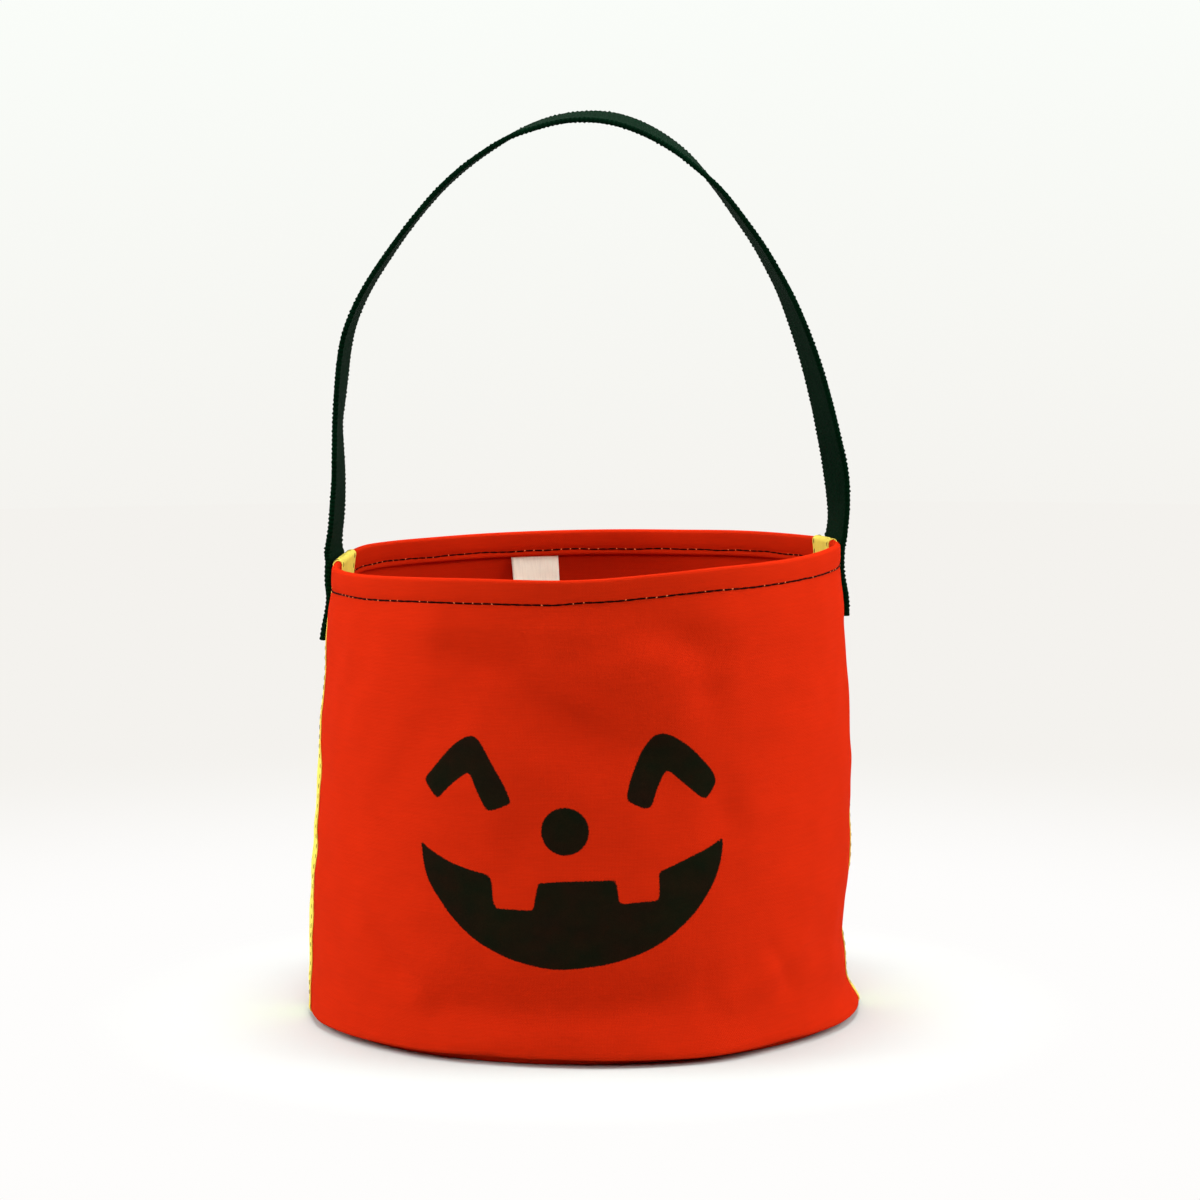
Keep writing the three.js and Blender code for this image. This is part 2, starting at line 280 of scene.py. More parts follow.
def grid_normals(grid, ring):
    """The grid's normals, from the way to each point's neighbours."""
    along = np.roll(grid, -1, 0) - np.roll(grid, 1, 0) if ring else np.gradient(grid, axis=0)
    return unit(np.cross(along, np.gradient(grid, axis=1)))


def cloth(name, grid, thickness, flat, outward, ring=False, edge=0.35):
    """A closed mesh of cloth round a grid of stations by points.

    flat is the same grid laid flat, outward says which of the two faces comes first, a ring closes on
    itself, and edge is how far the long edges bulge, as a share of the thickness.
    """
    normals = grid_normals(grid, ring)
    if (normals * outward).sum(-1).mean() < 0:
        normals = -normals
    half = np.broadcast_to(thickness, grid.shape[:2])[..., None] / 2
    sides = [grid + normals * half, grid - normals * half]
    first = grid[:, 0] + unit(grid[:, 0] - grid[:, 1]) * half[:, 0] * 2 * edge
    last = grid[:, -1] + unit(grid[:, -1] - grid[:, -2]) * half[:, -1] * 2 * edge
    count, across = grid.shape[:2]
    rings = np.concatenate([sides[0], last[:, None], sides[1][:, ::-1], first[:, None]], axis=1)
    maps = np.concatenate([flat, flat[:, -1:], flat[:, ::-1], flat[:, :1]], axis=1)
    size = rings.shape[1]
    stations = count if ring else count - 1
    i, j = np.meshgrid(np.arange(stations), np.arange(size), indexing="ij")
    a, b = i * size + j, i * size + (j + 1) % size
    c, d = (i + 1) % count * size + (j + 1) % size, (i + 1) % count * size + j
    quads = np.stack([a, b, c, d], -1).reshape(-1, 4)
    caps = []
    if not ring:
        quads = quads[:, ::-1]
        cap = [(k, k + 1, 2 * across - 1 - k, 2 * across - k) for k in range(across - 1)]
        cap += [(across - 1, across, across + 1), (2 * across, 2 * across + 1, 0)]
        last_ring = (count - 1) * size
        caps = [list(corners) for corners in cap]
        caps += [[last_ring + corner for corner in corners[::-1]] for corners in cap]
    return finish_mesh(name, rings.reshape(-1, 3), quads.tolist() + caps, maps.reshape(-1, 2))


def finish_mesh(name, points, faces, flat=None):
    """Makes a smooth mesh object in metres, its faces turned outwards, with its flat map."""
    mesh = bpy.data.meshes.new(name)
    mesh.from_pydata((np.asarray(points) * MM).tolist(), [], faces)
    mesh.update()
    mesh.calc_loop_triangles()
    corners = np.zeros(len(mesh.loop_triangles) * 3, np.int32)
    mesh.loop_triangles.foreach_get("vertices", corners)
    a, b, c = (np.asarray(points)[corners.reshape(-1, 3)[:, k]] for k in range(3))
    if (a * np.cross(b, c)).sum() < 0:
        mesh.flip_normals()
    if flat is not None:
        loops = np.zeros(len(mesh.loops), np.int32)
        mesh.loops.foreach_get("vertex_index", loops)
        layer = mesh.uv_layers.new(name=WEAVE_MAP)
        layer.data.foreach_set("uv", np.asarray(flat, np.float32)[loops].ravel())
    mesh.shade_smooth()
    return link(name, mesh)


print("cloth maker ready")

# %% [markdown]
# ## The line a panel's cloth follows
# From inside the bag: up-turned seam allowance, a sharp fold, the rounded bottom corner, the wall, the
# rolled top fold, the inner layer of the hem, and the raw edge tucked under it. Rows lie closer where
# the cloth bends and round the hem's stitching, and wider on the open wall.

# %% Lay out the panel's line
CANVAS = 0.9  # thickness of the canvas
AIR = 0.25  # between two folded layers
LAYER = CANVAS + AIR  # from the middle of one folded layer to the middle of the next
CORNER = 1.6  # radius of the bottom corner
LIFT = 0.2  # of the lowest fold's underside, before the wall is set over the floor
BEND = 0.2 + CANVAS / 2  # radius of the middle of a sharp fold
ALLOWANCE_OUT = -FOLDED_IN
FRONT_HEM, BACK_HEM = 12.0, 11.4  # depth of each hem
FRONT_STITCHED, BACK_STITCHED = 9.8, 8.7  # from the rim down to about where each is sewn
HEM_TUCK = 8.5  # from the hem's lower fold up to the raw edge inside it
STITCH_ROWS = np.array([-3.2, -2.1, -1.3, -0.65, 0, 0.65, 1.3, 2.1, 3.2])  # closer rows by the stitching


def arc(x, y, radius, start, end, steps):
    turn = np.radians(np.linspace(start, end, steps + 1))
    return np.stack([x + radius * np.cos(turn), y + radius * np.sin(turn)], 1)


def panel_line(hem, stitch):
    """Rows of (distance out from the wall's outer face, height) and the length of cloth to each."""
    fold_top = WALL_HEIGHT - 1.5 * CANVAS - AIR
    hem_low = WALL_HEIGHT - hem
    stitch_rows = WALL_HEIGHT - stitch + STITCH_ROWS
    wall = np.concatenate([np.linspace(LIFT + CORNER, stitch_rows[0] - 1.2, 108)[1:], stitch_rows])
    inner = np.concatenate([[fold_top - 1.5], stitch_rows[::-1], [hem_low + 1.4]])
    inner = inner[(inner > hem_low + 1) & (inner < fold_top - 0.8)]
    tucked = np.linspace(hem_low + 2.5, hem_low + HEM_TUCK, 4)
    line = np.concatenate([
        np.stack([np.full(4, ALLOWANCE_OUT), np.linspace(SEAM_TOP, LIFT + CANVAS + 0.9, 4)], 1),
        arc(ALLOWANCE_OUT + BEND, LIFT + CANVAS / 2 + BEND, BEND, 180, 270, 3),
        arc(-CORNER, LIFT + CORNER, CORNER - CANVAS / 2, -90, 0, 5),
        np.stack([np.full(len(wall), -CANVAS / 2), wall], 1),
        np.array([[-CANVAS / 2, fold_top - 1.4]]),
        arc(-CANVAS / 2 - LAYER, fold_top, LAYER, 0, 180, 10),
        np.stack([np.full(len(inner), -CANVAS / 2 - 2 * LAYER), inner], 1),
        arc(-CANVAS / 2 - 1.5 * LAYER, hem_low + CANVAS / 2 + LAYER / 2, LAYER / 2, -180, 0, 5),
        np.stack([np.full(4, -CANVAS / 2 - LAYER), tucked], 1),
    ])
    return line, lengths_along(line)


front_line, front_lengths = panel_line(FRONT_HEM, FRONT_STITCHED)
back_line, back_lengths = panel_line(BACK_HEM, BACK_STITCHED)
print("front panel from edge to edge:", round(float(front_lengths[-1]), 1), "mm,", len(front_line), "rows")

# %% [markdown]
# ## Where the side seams run
# The wall is turned on its base, so each seam slants. The left one goes from 10 degrees behind the
# middle at the rim to 3 in front of it at the base and wavers on its way. The right one goes straight,
# from 13 degrees behind the middle to 4.5. Each seam is given as an angle by height.

# %% Side seams and the hem's stitch line
RIM_BACK, RIM_TURN, BASE_TURN, BASE_FORWARD = 11.5, 1.3, 6.0, 1.5
# How far the left seam strays, in degrees by height.
LEFT_DRIFT = [
    (0, -4.4), (10, -3.4), (44, 2.2), (80, 3.4), (99, 3.6), (110, 3.0), (122, 1.6), (150, 0.3), (192, 0),
]


def seam_angle(side, height):
    """The seam's angle round the bag at a height: side 1 is the right, and -1 the left."""
    share = np.clip(height / WALL_HEIGHT, 0, 1)
    if side > 0:
        return (BASE_TURN - BASE_FORWARD) * (1 - share) + (RIM_TURN + RIM_BACK) * share
    straight = 180 + (BASE_TURN + BASE_FORWARD) * (1 - share) + (RIM_TURN - RIM_BACK) * share
    return straight + eased(LEFT_DRIFT, height, 6)


def front_stitch_depth(angle):
    """How far the front's hem stitching lies below the edge.

    It wanders a little, and left of the middle it runs 0.9 mm lower.
    """
    x = around(angle, FRONT)
    return 9.2 + 0.9 / (1 + np.exp((x + 3.5) / 1.2)) + 0.12 * np.sin(x / 5.0) + 0.6 * bump(x + 90, 12)


def back_stitch_depth(angle):
    return BACK_STITCHED + 0.15 * np.sin(angle / 4.0) + 0.1 * np.sin(angle / 1.7)


print("seams at the rim:", [round(float(seam_angle(side, WALL_HEIGHT)), 1) for side in (-1, 1)])

# %% [markdown]
# ## The two wall panels
# Both are the same cloth folded the same way. The hem's three layers are pressed together along the
# stitching, which leaves a fine groove on both sides, so the layers there are thinner and closer.

# %% Sew the two panels
STATIONS = 262
GROOVE = 1.3  # half width of the groove that the stitching pulls in
SQUEEZE = 0.25  # how much thinner the cloth is there
FRONT_DRAW, SIDE_DRAW = 2.7, 0.8  # how far the stitching draws the wall in
HALF_BUTT = 0.13  # degrees that each panel stays short of the side seam
HEM_ZONE = 150  # height over which the hem and its stitching shape the cloth
HEM_PUFF = 0.18  # how far the hem's outer layers fill out over its stitching


def rim_draw(angle, height):
    """How far the stitching draws the rim in. In front the hem leans out over its stitches."""
    front = bump(around(angle, FRONT), 60)
    at_stitches = np.interp(height, [160, 172, 182, 192], [0, 0.15, 1, 0])
    at_top = np.interp(height, [182, 192], [0, 1])
    stitch_draw = SIDE_DRAW + (FRONT_DRAW - SIDE_DRAW) * front
    return at_stitches * stitch_draw + at_top * (1.2 - 1.15 * front)


def panel_ends(start_side, height, short):
    """The angles that a panel runs from and to, each short of its side seam by so many degrees."""
    turn = 360 if start_side < 0 else 0
    return seam_angle(start_side, height) + short, seam_angle(-start_side, height) + turn - short


def panel(name, start_side, line, lengths, depth_of):
    """A wall panel from one side seam to the other, with its hem sewn at the given depth."""
    out, height = line[:, 0][None], line[:, 1][None]
    start, end = panel_ends(start_side, height, HALF_BUTT)
    angle = start + (end - start) * np.linspace(0, 1, STATIONS)[:, None]
    pinch = bump(height - (WALL_HEIGHT - depth_of(angle)), GROOVE) * (height > HEM_ZONE)
    full = bump(height - WALL_HEIGHT + 5, 3.5) * (height > HEM_ZONE)
    layer = (-CANVAS / 2 - out) / LAYER  # 0 on the outer layer, 1 on the tucked one, 2 on the inner
    inner = np.clip(layer, 0, 2) - 1
    shift = inner * (SQUEEZE * 0.9 * pinch - HEM_PUFF * full) - rim_draw(angle, height)
    grid = wall_point(angle, height, out + shift)
    across = around(angle, FRONT if start_side < 0 else BACK) * ARC_MM
    flat = np.stack([across, np.broadcast_to(lengths[None], angle.shape)], -1)
    wall_rows = (layer < 0.01) & (height > 5)  # the outer layer, clear of the bottom corner
    outward = outward_of(angle) * wall_rows[..., None]
    piece = cloth(name, grid, CANVAS - SQUEEZE * pinch, flat, outward)
    return piece, angle, grid[..., 2] - CLEAR, wall_rows


front_canvas, front_angle, front_height, front_wall = panel(
    "front_canvas", -1, front_line, front_lengths, front_stitch_depth
)
back_canvas, *_ = panel("back_canvas", 1, back_line, back_lengths, back_stitch_depth)
for piece in (front_canvas, back_canvas):
    print(piece.name, len(piece.data.polygons), "faces")

# %% [markdown]
# ## The base
# A round of the same canvas lies on the floor, and its edge turns up inside the wall's allowance. It
# isn't stretched over anything, so its middle stands about a millimetre off the floor and swells a
# little. The turned-up edge follows the wall round it, which isn't a true circle.

# %% Cut the base
SEAM_PLAY = 0.3  # between the layers of the base seam
BASE_EDGE = BASE_RADIUS + ALLOWANCE_OUT - CANVAS / 2 - SEAM_PLAY  # outer face of the turned-up edge
ROUND_STATIONS = 192


def follow_wall(turn, z):
    """How far the wall above the base seam is out of round: what is sewn to it follows."""
    angle, height = np.degrees(turn), np.clip(z - CLEAR, 0, None)
    return (wall_radius(angle, height) - taper(height)) * np.clip((z - 1) / 3, 0, 1)


def base_round():
    """From the middle of the round to its edge, and up the wall's allowance."""
    flange = BASE_EDGE - CANVAS / 2
    radii = np.concatenate([[0.4, 3], np.linspace(8, flange - BEND, 26)])
    rows = np.concatenate([
        np.stack([radii, np.full(len(radii), CANVAS / 2)], 1),
        arc(flange - BEND, CANVAS / 2 + BEND, BEND, -90, 0, 5)[1:],
        np.stack([np.full(6, flange), np.linspace(3, CLEAR + SEAM_TOP, 6)], 1),
    ])
    lengths = lengths_along(rows)[None]
    z = rows[:, 1][None]
    turn = np.linspace(0, math.tau, ROUND_STATIONS, endpoint=False)[:, None]
    radius = rows[:, 0][None] + follow_wall(turn, z)
    x, y = radius * np.cos(turn), radius * np.sin(turn)
    level = z < 1
    rise = (swells(x, y, 21, 50, 120) * 0.5 + 0.8) * np.clip((96 - radius) / 40, 0, 1)
    grid = np.stack([x, y, z + np.clip(rise, 0, 2) * level], -1)
    flat = np.stack([lengths * np.cos(turn), lengths * np.sin(turn)], -1)
    up = np.array([0, 0, 1]) * np.broadcast_to(level, x.shape)[..., None]
    return cloth("base_canvas", grid, CANVAS, flat, up, ring=True)


base_canvas = base_round()
print("base", len(base_canvas.data.polygons), "faces")

# %% [markdown]
# ## The binding of the base seam
# Inside the bag, the raw edges of wall and base stand up together in a fold of black bias tape. Bias
# tape is cut on the slant, so it ripples a little as it goes round a curve.

# %% Bind the base seam
BINDING, BINDING_DEPTH = 0.5, 7.5


def bound_edge():
    """Up the seam's outer side, over its raw edges and down its inner side, with the tape's ripple."""
    outer = BASE_RADIUS + ALLOWANCE_OUT + CANVAS / 2 + SEAM_PLAY + BINDING / 2
    inner = BASE_EDGE - CANVAS - SEAM_PLAY - BINDING / 2
    radius = (outer - inner) / 2
    fold = CLEAR + SEAM_TOP + SEAM_PLAY + BINDING / 2 + 1 - radius
    bottom = fold + radius - BINDING_DEPTH
    rows = np.concatenate([
        np.stack([np.full(5, outer), np.linspace(bottom, fold - 0.6, 5)], 1),
        arc((outer + inner) / 2, fold, radius, 0, 180, 8),
        np.stack([np.full(5, inner), np.linspace(fold - 0.6, bottom, 5)], 1),
    ])
    out, z = rows[:, 0][None], rows[:, 1][None]
    turn = np.linspace(0, math.tau, 2 * ROUND_STATIONS, endpoint=False)[:, None]
    radius = out + follow_wall(turn, z) - 0.15 * np.sin(turn * 61) * (out < inner + 0.1)
    z = z + 0.16 * np.sin(turn * 140) * np.clip((z - bottom) / 6, 0, 1)
    grid = np.stack([radius * np.cos(turn), radius * np.sin(turn), z], -1)
    flat = np.stack(np.broadcast_arrays(np.degrees(turn) * ARC_MM, lengths_along(rows)[None]), -1)
    up = np.broadcast_to([0, 0, 1], grid.shape)
    return cloth("base_edge_binding", grid, BINDING, flat, up, ring=True)


base_binding = bound_edge()
print("binding", len(base_binding.data.polygons), "faces")

# %% [markdown]
# ## The side tapes
# A 25 mm cotton tape covers each side seam. It starts under the bag, runs up the wall, folds over the
# rim and is sewn down inside the mouth. Close to its stitched edges it is pulled flat, and between them
# it stands a hair off the cloth.

# %% Lay the tapes over the side seams
TAPE_WIDTH, TAPE, TAPE_INSIDE = 25.0, 0.5, 14.0
TAPE_GAP = 0.08  # between the tape and the canvas
HEM_THICKNESS = 3 * CANVAS + 2 * AIR
HEM_FOLD = WALL_HEIGHT - HEM_THICKNESS / 2  # the height from which the tape goes over the rim


def tape_line():
    """Rows of (distance out from the wall's outer face, height) from under the bag to the inside."""
    out = TAPE_GAP + TAPE / 2
    wall = np.linspace(LIFT + CORNER, HEM_FOLD, 92)[1:-1]
    inside = np.linspace(HEM_FOLD - 0.8, WALL_HEIGHT - TAPE_INSIDE, 9)
    return np.concatenate([
        arc(-CORNER, LIFT + CORNER, CORNER + out, -50, 0, 5),
        np.stack([np.full(len(wall), out), wall], 1),
        arc(-HEM_THICKNESS / 2, HEM_FOLD, HEM_THICKNESS / 2 + out, 0, 180, 12),
        np.stack([np.full(len(inside), -HEM_THICKNESS - out), inside], 1),
    ])


def tape_wander(lengths, side):
    """How far the tape strays to one side on its way."""
    return 0.35 * np.sin(lengths / 9.0 + side) + 0.2 * np.sin(lengths / 3.7)


def tape_angle(side, across, out, height):
    """The angle of a place across the tape, where less than zero is towards the front."""
    return seam_angle(side, height) + side * np.degrees(across / (taper(height) + out))


def side_tape(name, side):
    out, height = tape_rows[:, 0][None], tape_rows[:, 1][None]
    lengths = tape_lengths[None]
    across = np.linspace(-TAPE_WIDTH / 2, TAPE_WIDTH / 2, 33)[:, None] + tape_wander(lengths, side)
    angle = tape_angle(side, across, out, height)
    loose = np.clip(1 - (np.abs(across) / (TAPE_WIDTH / 2)) ** 4, 0, 1)
    stand = loose * (0.14 + 0.08 * swells(across, lengths, 31 + side, 10, 26))
    grid = wall_point(angle, height, out + np.where(out > -1, 1, -1) * stand - rim_draw(angle, height))
    flat = np.stack(np.broadcast_arrays(across, lengths), -1)
    outward = outward_of(angle) * ((out > 0) & (height > 10))[..., None]
    return cloth(name, grid, TAPE, flat, outward)


tape_rows = tape_line()
tape_lengths = lengths_along(tape_rows)
left_tape = side_tape("left_side_tape_cloth", -1)
right_tape = side_tape("right_side_tape_cloth", 1)
print("tape cut", TAPE_WIDTH, "by", round(float(tape_lengths[-1]), 1), "mm")

# %% [markdown]
# ## The label
# A small cream label is caught under the back hem and hangs inside the mouth. It is left bare. Its
# free end stands 8 mm off the wall, so it catches the light from above, and the wall's curve bends it.

# %% Hang the label
LABEL_WIDTH, LABEL_LENGTH, LABEL = 21.4, 30.0, 0.35
LABEL_AT = 102.6  # degrees round the bag
LABEL_TOP = 9.9  # from the rim down to where it leaves the hem
LABEL_STAND, LABEL_SWING, LABEL_SLANT = 0.55, 8.5, 0.045


def hanging_label():
    down = np.linspace(0, LABEL_LENGTH, 25)[None]
    across = np.linspace(-LABEL_WIDTH / 2, LABEL_WIDTH / 2, 17)[:, None]
    height = WALL_HEIGHT - LABEL_TOP - down
    angle = LABEL_AT + np.degrees((across - LABEL_SLANT * down) / (taper(height) - 3))
    swing = LABEL_SWING * np.clip((down - 1) / LABEL_LENGTH, 0, 1)
    twist = 0.5 * (across / LABEL_WIDTH) * down / 20
    out = -CANVAS - LABEL / 2 - LABEL_STAND - swing - twist - rim_draw(angle, height)
    flat = np.stack(np.broadcast_arrays(across, down), -1)
    return cloth("hanging_label", wall_point(angle, height, out), LABEL, flat, -outward_of(angle))


label = hanging_label()
print("label cut", LABEL_WIDTH, "by", LABEL_LENGTH, "mm")

# %% [markdown]
# ## The handle
# One length of 25 mm webbing goes from the outside of the left tape, over the top, to the outside of
# the right tape. A curve alone would be a tube, so a flat strip is carried along the path and turned
# by the angle the real one shows at each place. The path is the two sewn ends on the wall and the arch
# between them, with the corners where they meet eased.

# %% The handle's path and the turn of its face
WEBBING_WIDTH, WEBBING = 25.0, 2.1
HANDLE_BACK, HANDLE_LEAN = 25.8, 0.135  # how far behind the middle it is sewn, and its lean forward
# The webbing's middle over the rim: to the right of the bag's middle, and over the lowest fold.
ARCH = [
    (-107, 192.3), (-105.5, 203.4), (-104.7, 213.5), (-104.2, 224), (-104.2, 234.6), (-104.1, 244.7),
    (-103.1, 254.7), (-102, 264.8), (-100.7, 275.3), (-98.5, 285.5), (-94.5, 295.7), (-89.1, 305.7),
    (-82.4, 315.8), (-75.1, 325.9), (-67, 336), (-57.9, 345.9), (-46.2, 355.9), (-30.8, 365.8),
    (-17.4, 371.3), (-6.5, 373.9), (3, 374.5), (9.5, 374.1), (15.9, 372.9), (24.2, 370), (32.5, 365.8),
    (41, 360.1), (49.3, 352.7), (57.9, 343.4), (66.3, 332.2), (74.2, 320.9), (80.1, 310.8),
    (85.4, 300.7), (89.7, 290.6), (93.5, 280.4), (96.9, 270.2), (99.8, 259.9), (102.4, 249.7),
    (104.7, 239.4), (106.9, 229.1), (108.3, 218.7), (108.9, 208.3), (108.6, 199.5),
]
# How many degrees its face is turned, by its length from the left rim.
TWIST = [
    (-14, -13.5), (-4, -12), (4, -8), (21, -7.9), (31, -6), (52, -2.3), (62, -4.5), (73, -6), (94, -6.8),
    (128, -6.8), (140, -6), (154, -6), (167, -6.5), (182, -7), (200, -6.5), (207, -5), (215, -2.6),
    (232, -1), (249, 1.6), (258, 2.2), (267, 1.9), (277, 0.8), (288, -1), (297, -5), (301, -6.4),
    (315, -8.3), (329, -9), (340, -9.8), (352, -10.9), (363, -12.6), (374, -14.1), (384, -15),
    (395, -16), (406, -16.8), (416, -17.6), (427, -19), (437, -19), (448, -15.6), (457, -12), (468, -13.5),
]
# How far each sewn end stands off its flush place on the tape, by height.
LEFT_STAND = [
    (153, 1.6), (157, 1.2), (160, 0.6), (163, -0.1), (167, -0.6), (172, -0.4), (177, 0.3), (187, 0.4),
    (192, 0.2),
]
RIGHT_STAND = [
    (161, 0.6), (168, 0.6), (173, 0.3), (177, -0.3), (182, -0.8), (187, -0.8), (192, -0.6), (197, -0.2),
]
LEFT_FOOT, RIGHT_FOOT = 154.2, 161.4  # heights of the two cut ends
LEFT_TOP, RIGHT_TOP = 188.0, 193.0  # heights up to which the webbing lies on the wall
PATH_STEP = 0.45
EASINGS = 12  # how often the path's corners are eased


def spline(points, step):
    """A smooth line through the points, with a point every step or so."""
    p = np.asarray(points, float)
    p = np.concatenate([[2 * p[0] - p[1]], p, [2 * p[-1] - p[-2]]])
    made = []
    for k in range(1, len(p) - 2):
        count = max(2, int(round(np.linalg.norm(p[k + 1] - p[k]) / step)))
        t = np.linspace(0, 1, count, endpoint=False)[:, None]
        a, b, c, d = p[k - 1], p[k], p[k + 1], p[k + 2]
        square, cube = 2 * a - 5 * b + 4 * c - d, 3 * b - a - 3 * c + d
        made.append(0.5 * (2 * b + (c - a) * t + square * t**2 + cube * t**3))
    return np.concatenate(made + [p[-2:-1]])


def sewn_point(side, z):
    """The webbing's middle on the wall on one side, at a height over the wall's lowest fold."""
    height = z
    for _ in range(6):  # the wall's stretch to the rim depends on the height sought, so close in on it
        angle = math.degrees(math.asin(HANDLE_BACK / (float(taper(height)) + 2)))
        angle = angle if side > 0 else 180 - angle
        stretch = (float(rim_height(angle)) - WALL_HEIGHT) * max(height / WALL_HEIGHT, 0) ** 1.5
        height = z - stretch
    stand = float(eased(RIGHT_STAND if side > 0 else LEFT_STAND, z, 1.5))
    out = TAPE_GAP + TAPE + 0.3 + WEBBING / 2 + stand
    return wall_point(np.array(angle), np.array(min(height, WALL_HEIGHT)), out)


def handle_path():
    """Points along the whole webbing, its lengths from the left rim, and the way across its width."""
    left = [sewn_point(-1, z) for z in np.arange(LEFT_FOOT, LEFT_TOP, 2.6)]
    right = [sewn_point(1, z) for z in np.arange(RIGHT_TOP, RIGHT_FOOT - 0.01, -2.8)]
    arch = [(x, HANDLE_BACK - HANDLE_LEAN * (z - WALL_HEIGHT), CLEAR + z) for x, z in ARCH]
    rough = spline(left + arch + right, 0.2)
    lengths = lengths_along(rough)
    even = np.arange(0, lengths[-1], PATH_STEP)
    path = read_along(rough, lengths, even)
    for _ in range(EASINGS):
        path[1:-1] = path[1:-1] * 0.5 + (path[:-2] + path[2:]) * 0.25
    along = unit(np.gradient(path, axis=0))
    start = even[np.argmin(np.abs(path[:, 2] - CLEAR - WALL_HEIGHT) + 1000 * (path[:, 0] > 0))]
    twist = np.radians(eased(TWIST, even - start, 5))
    level = np.array([0, 1, HANDLE_LEAN]) / math.hypot(1, HANDLE_LEAN)
    # On the wall the strip's width is level; on the arch it leans as the arch does.
    on_arch = np.clip((path[:, 2] - WALL_HEIGHT) / 25, 0, 1)[:, None]
    wide = unit(np.array([0, 1.0, 0]) * (1 - on_arch) + level * on_arch)
    wide = unit(wide - along * (wide * along).sum(1, keepdims=True))
    third = np.cross(along, wide)
    wide = wide * np.cos(twist)[:, None] + third * np.sin(twist)[:, None]
    return path, even - start, along, wide


path, path_mm, path_along, path_wide = handle_path()
webbing_length = float(path_mm[-1] - path_mm[0])
print("webbing length", round(webbing_length), "mm, top at", round(float(path[:, 2].max()), 1))

# %% [markdown]
# The strip is cloth like the other pieces, but thicker. Its edges are toothed, because the weft turns
# back there, and the teeth's knots make it thicker there too. The two cut ends stand off the wall
# below the box of stitching. A flat picture of teeth would not show at the outline, so they are mesh.

# %% Weave the webbing along its path
TOOTH = 1.9  # length of one turn of the weft at the selvedge
CUT_REACH = 10  # length over which the slant of a cut end dies out


def webbing():
    """The strip, with its teeth and knots at the edges. Both ends are cut on a slight slant."""
    across, along = np.linspace(-1, 1, 21)[None], path_mm[:, None]
    edge = np.abs(across) ** 14
    tooth = 0.5 + 0.5 * np.sin(math.tau * along / TOOTH + np.pi * (across > 0))
    wide = across * (WEBBING_WIDTH / 2 - 0.3) + np.sign(across) * edge * (0.42 * tooth - 0.1)
    at_start = np.clip(1 - (along - along[0]) / CUT_REACH, 0, 1)
    at_end = np.clip(1 - (along[-1] - along) / CUT_REACH, 0, 1)
    cut = across * (0.5 * at_start + 0.6 * at_end)
    grid = path[:, None] + path_wide[:, None] * wide[..., None] + path_along[:, None] * cut[..., None]
    knots = (0.5 + 0.5 * swells(along, 3 * across, 51, 2.6, 6.0)) * (tooth - 0.4) * np.abs(across) ** 5
    crown = WEBBING + 0.10 * np.cos(math.tau * along / TOOTH) * (1 - edge) + 0.9 * knots
    flat = np.stack(np.broadcast_arrays(wide, along), -1)
    outward = np.broadcast_to(np.cross(path_along, path_wide)[:, None], grid.shape)
    return cloth("handle_webbing", grid, crown, flat, outward, edge=0.3)


handle = webbing()
print("webbing", len(handle.data.polygons), "faces")

# %% [markdown]
# ## Stitches
# Each stitch is a short length of thread that rises out of one needle hole, lies on the cloth and dips
# into the next. They are modelled one by one, flattened a little, with small changes in length and
# side, because a machine on thick canvas never sews a perfect line.

# %% A row of stitches along a line on the cloth
def join(name, pieces):
    """Joins meshes to one object by their data, with nothing selected or active."""
    points, faces = [], []
    for piece in pieces:
        start = len(points)
        points += [v.co[:] for v in piece.data.vertices]
        faces += [[start + v for v in polygon.vertices] for polygon in piece.data.polygons]
        old = piece.data
        bpy.data.objects.remove(piece)
        bpy.data.meshes.remove(old)
    mesh = bpy.data.meshes.new(name)
    mesh.from_pydata(points, [], faces)
    mesh.shade_smooth()
    return link(name, mesh)


RINGS, SIDES = 7, 8  # of points on one stitch
LOCKS_SHOWN = 0.45  # share of the needle holes in which the under thread shows


def stitch_faces():
    """The faces of one stitch by its own points: its sides, then its two ends."""
    faces = []
    for ring in range(0, (RINGS - 1) * SIDES, SIDES):
        for s in range(SIDES):
            a, b = ring + s, ring + (s + 1) % SIDES
            faces.append([a, b, b + SIDES, a + SIDES])
    last = (RINGS - 1) * SIDES
    return faces + [list(range(SIDES))[::-1], list(range(last, last + SIDES))]


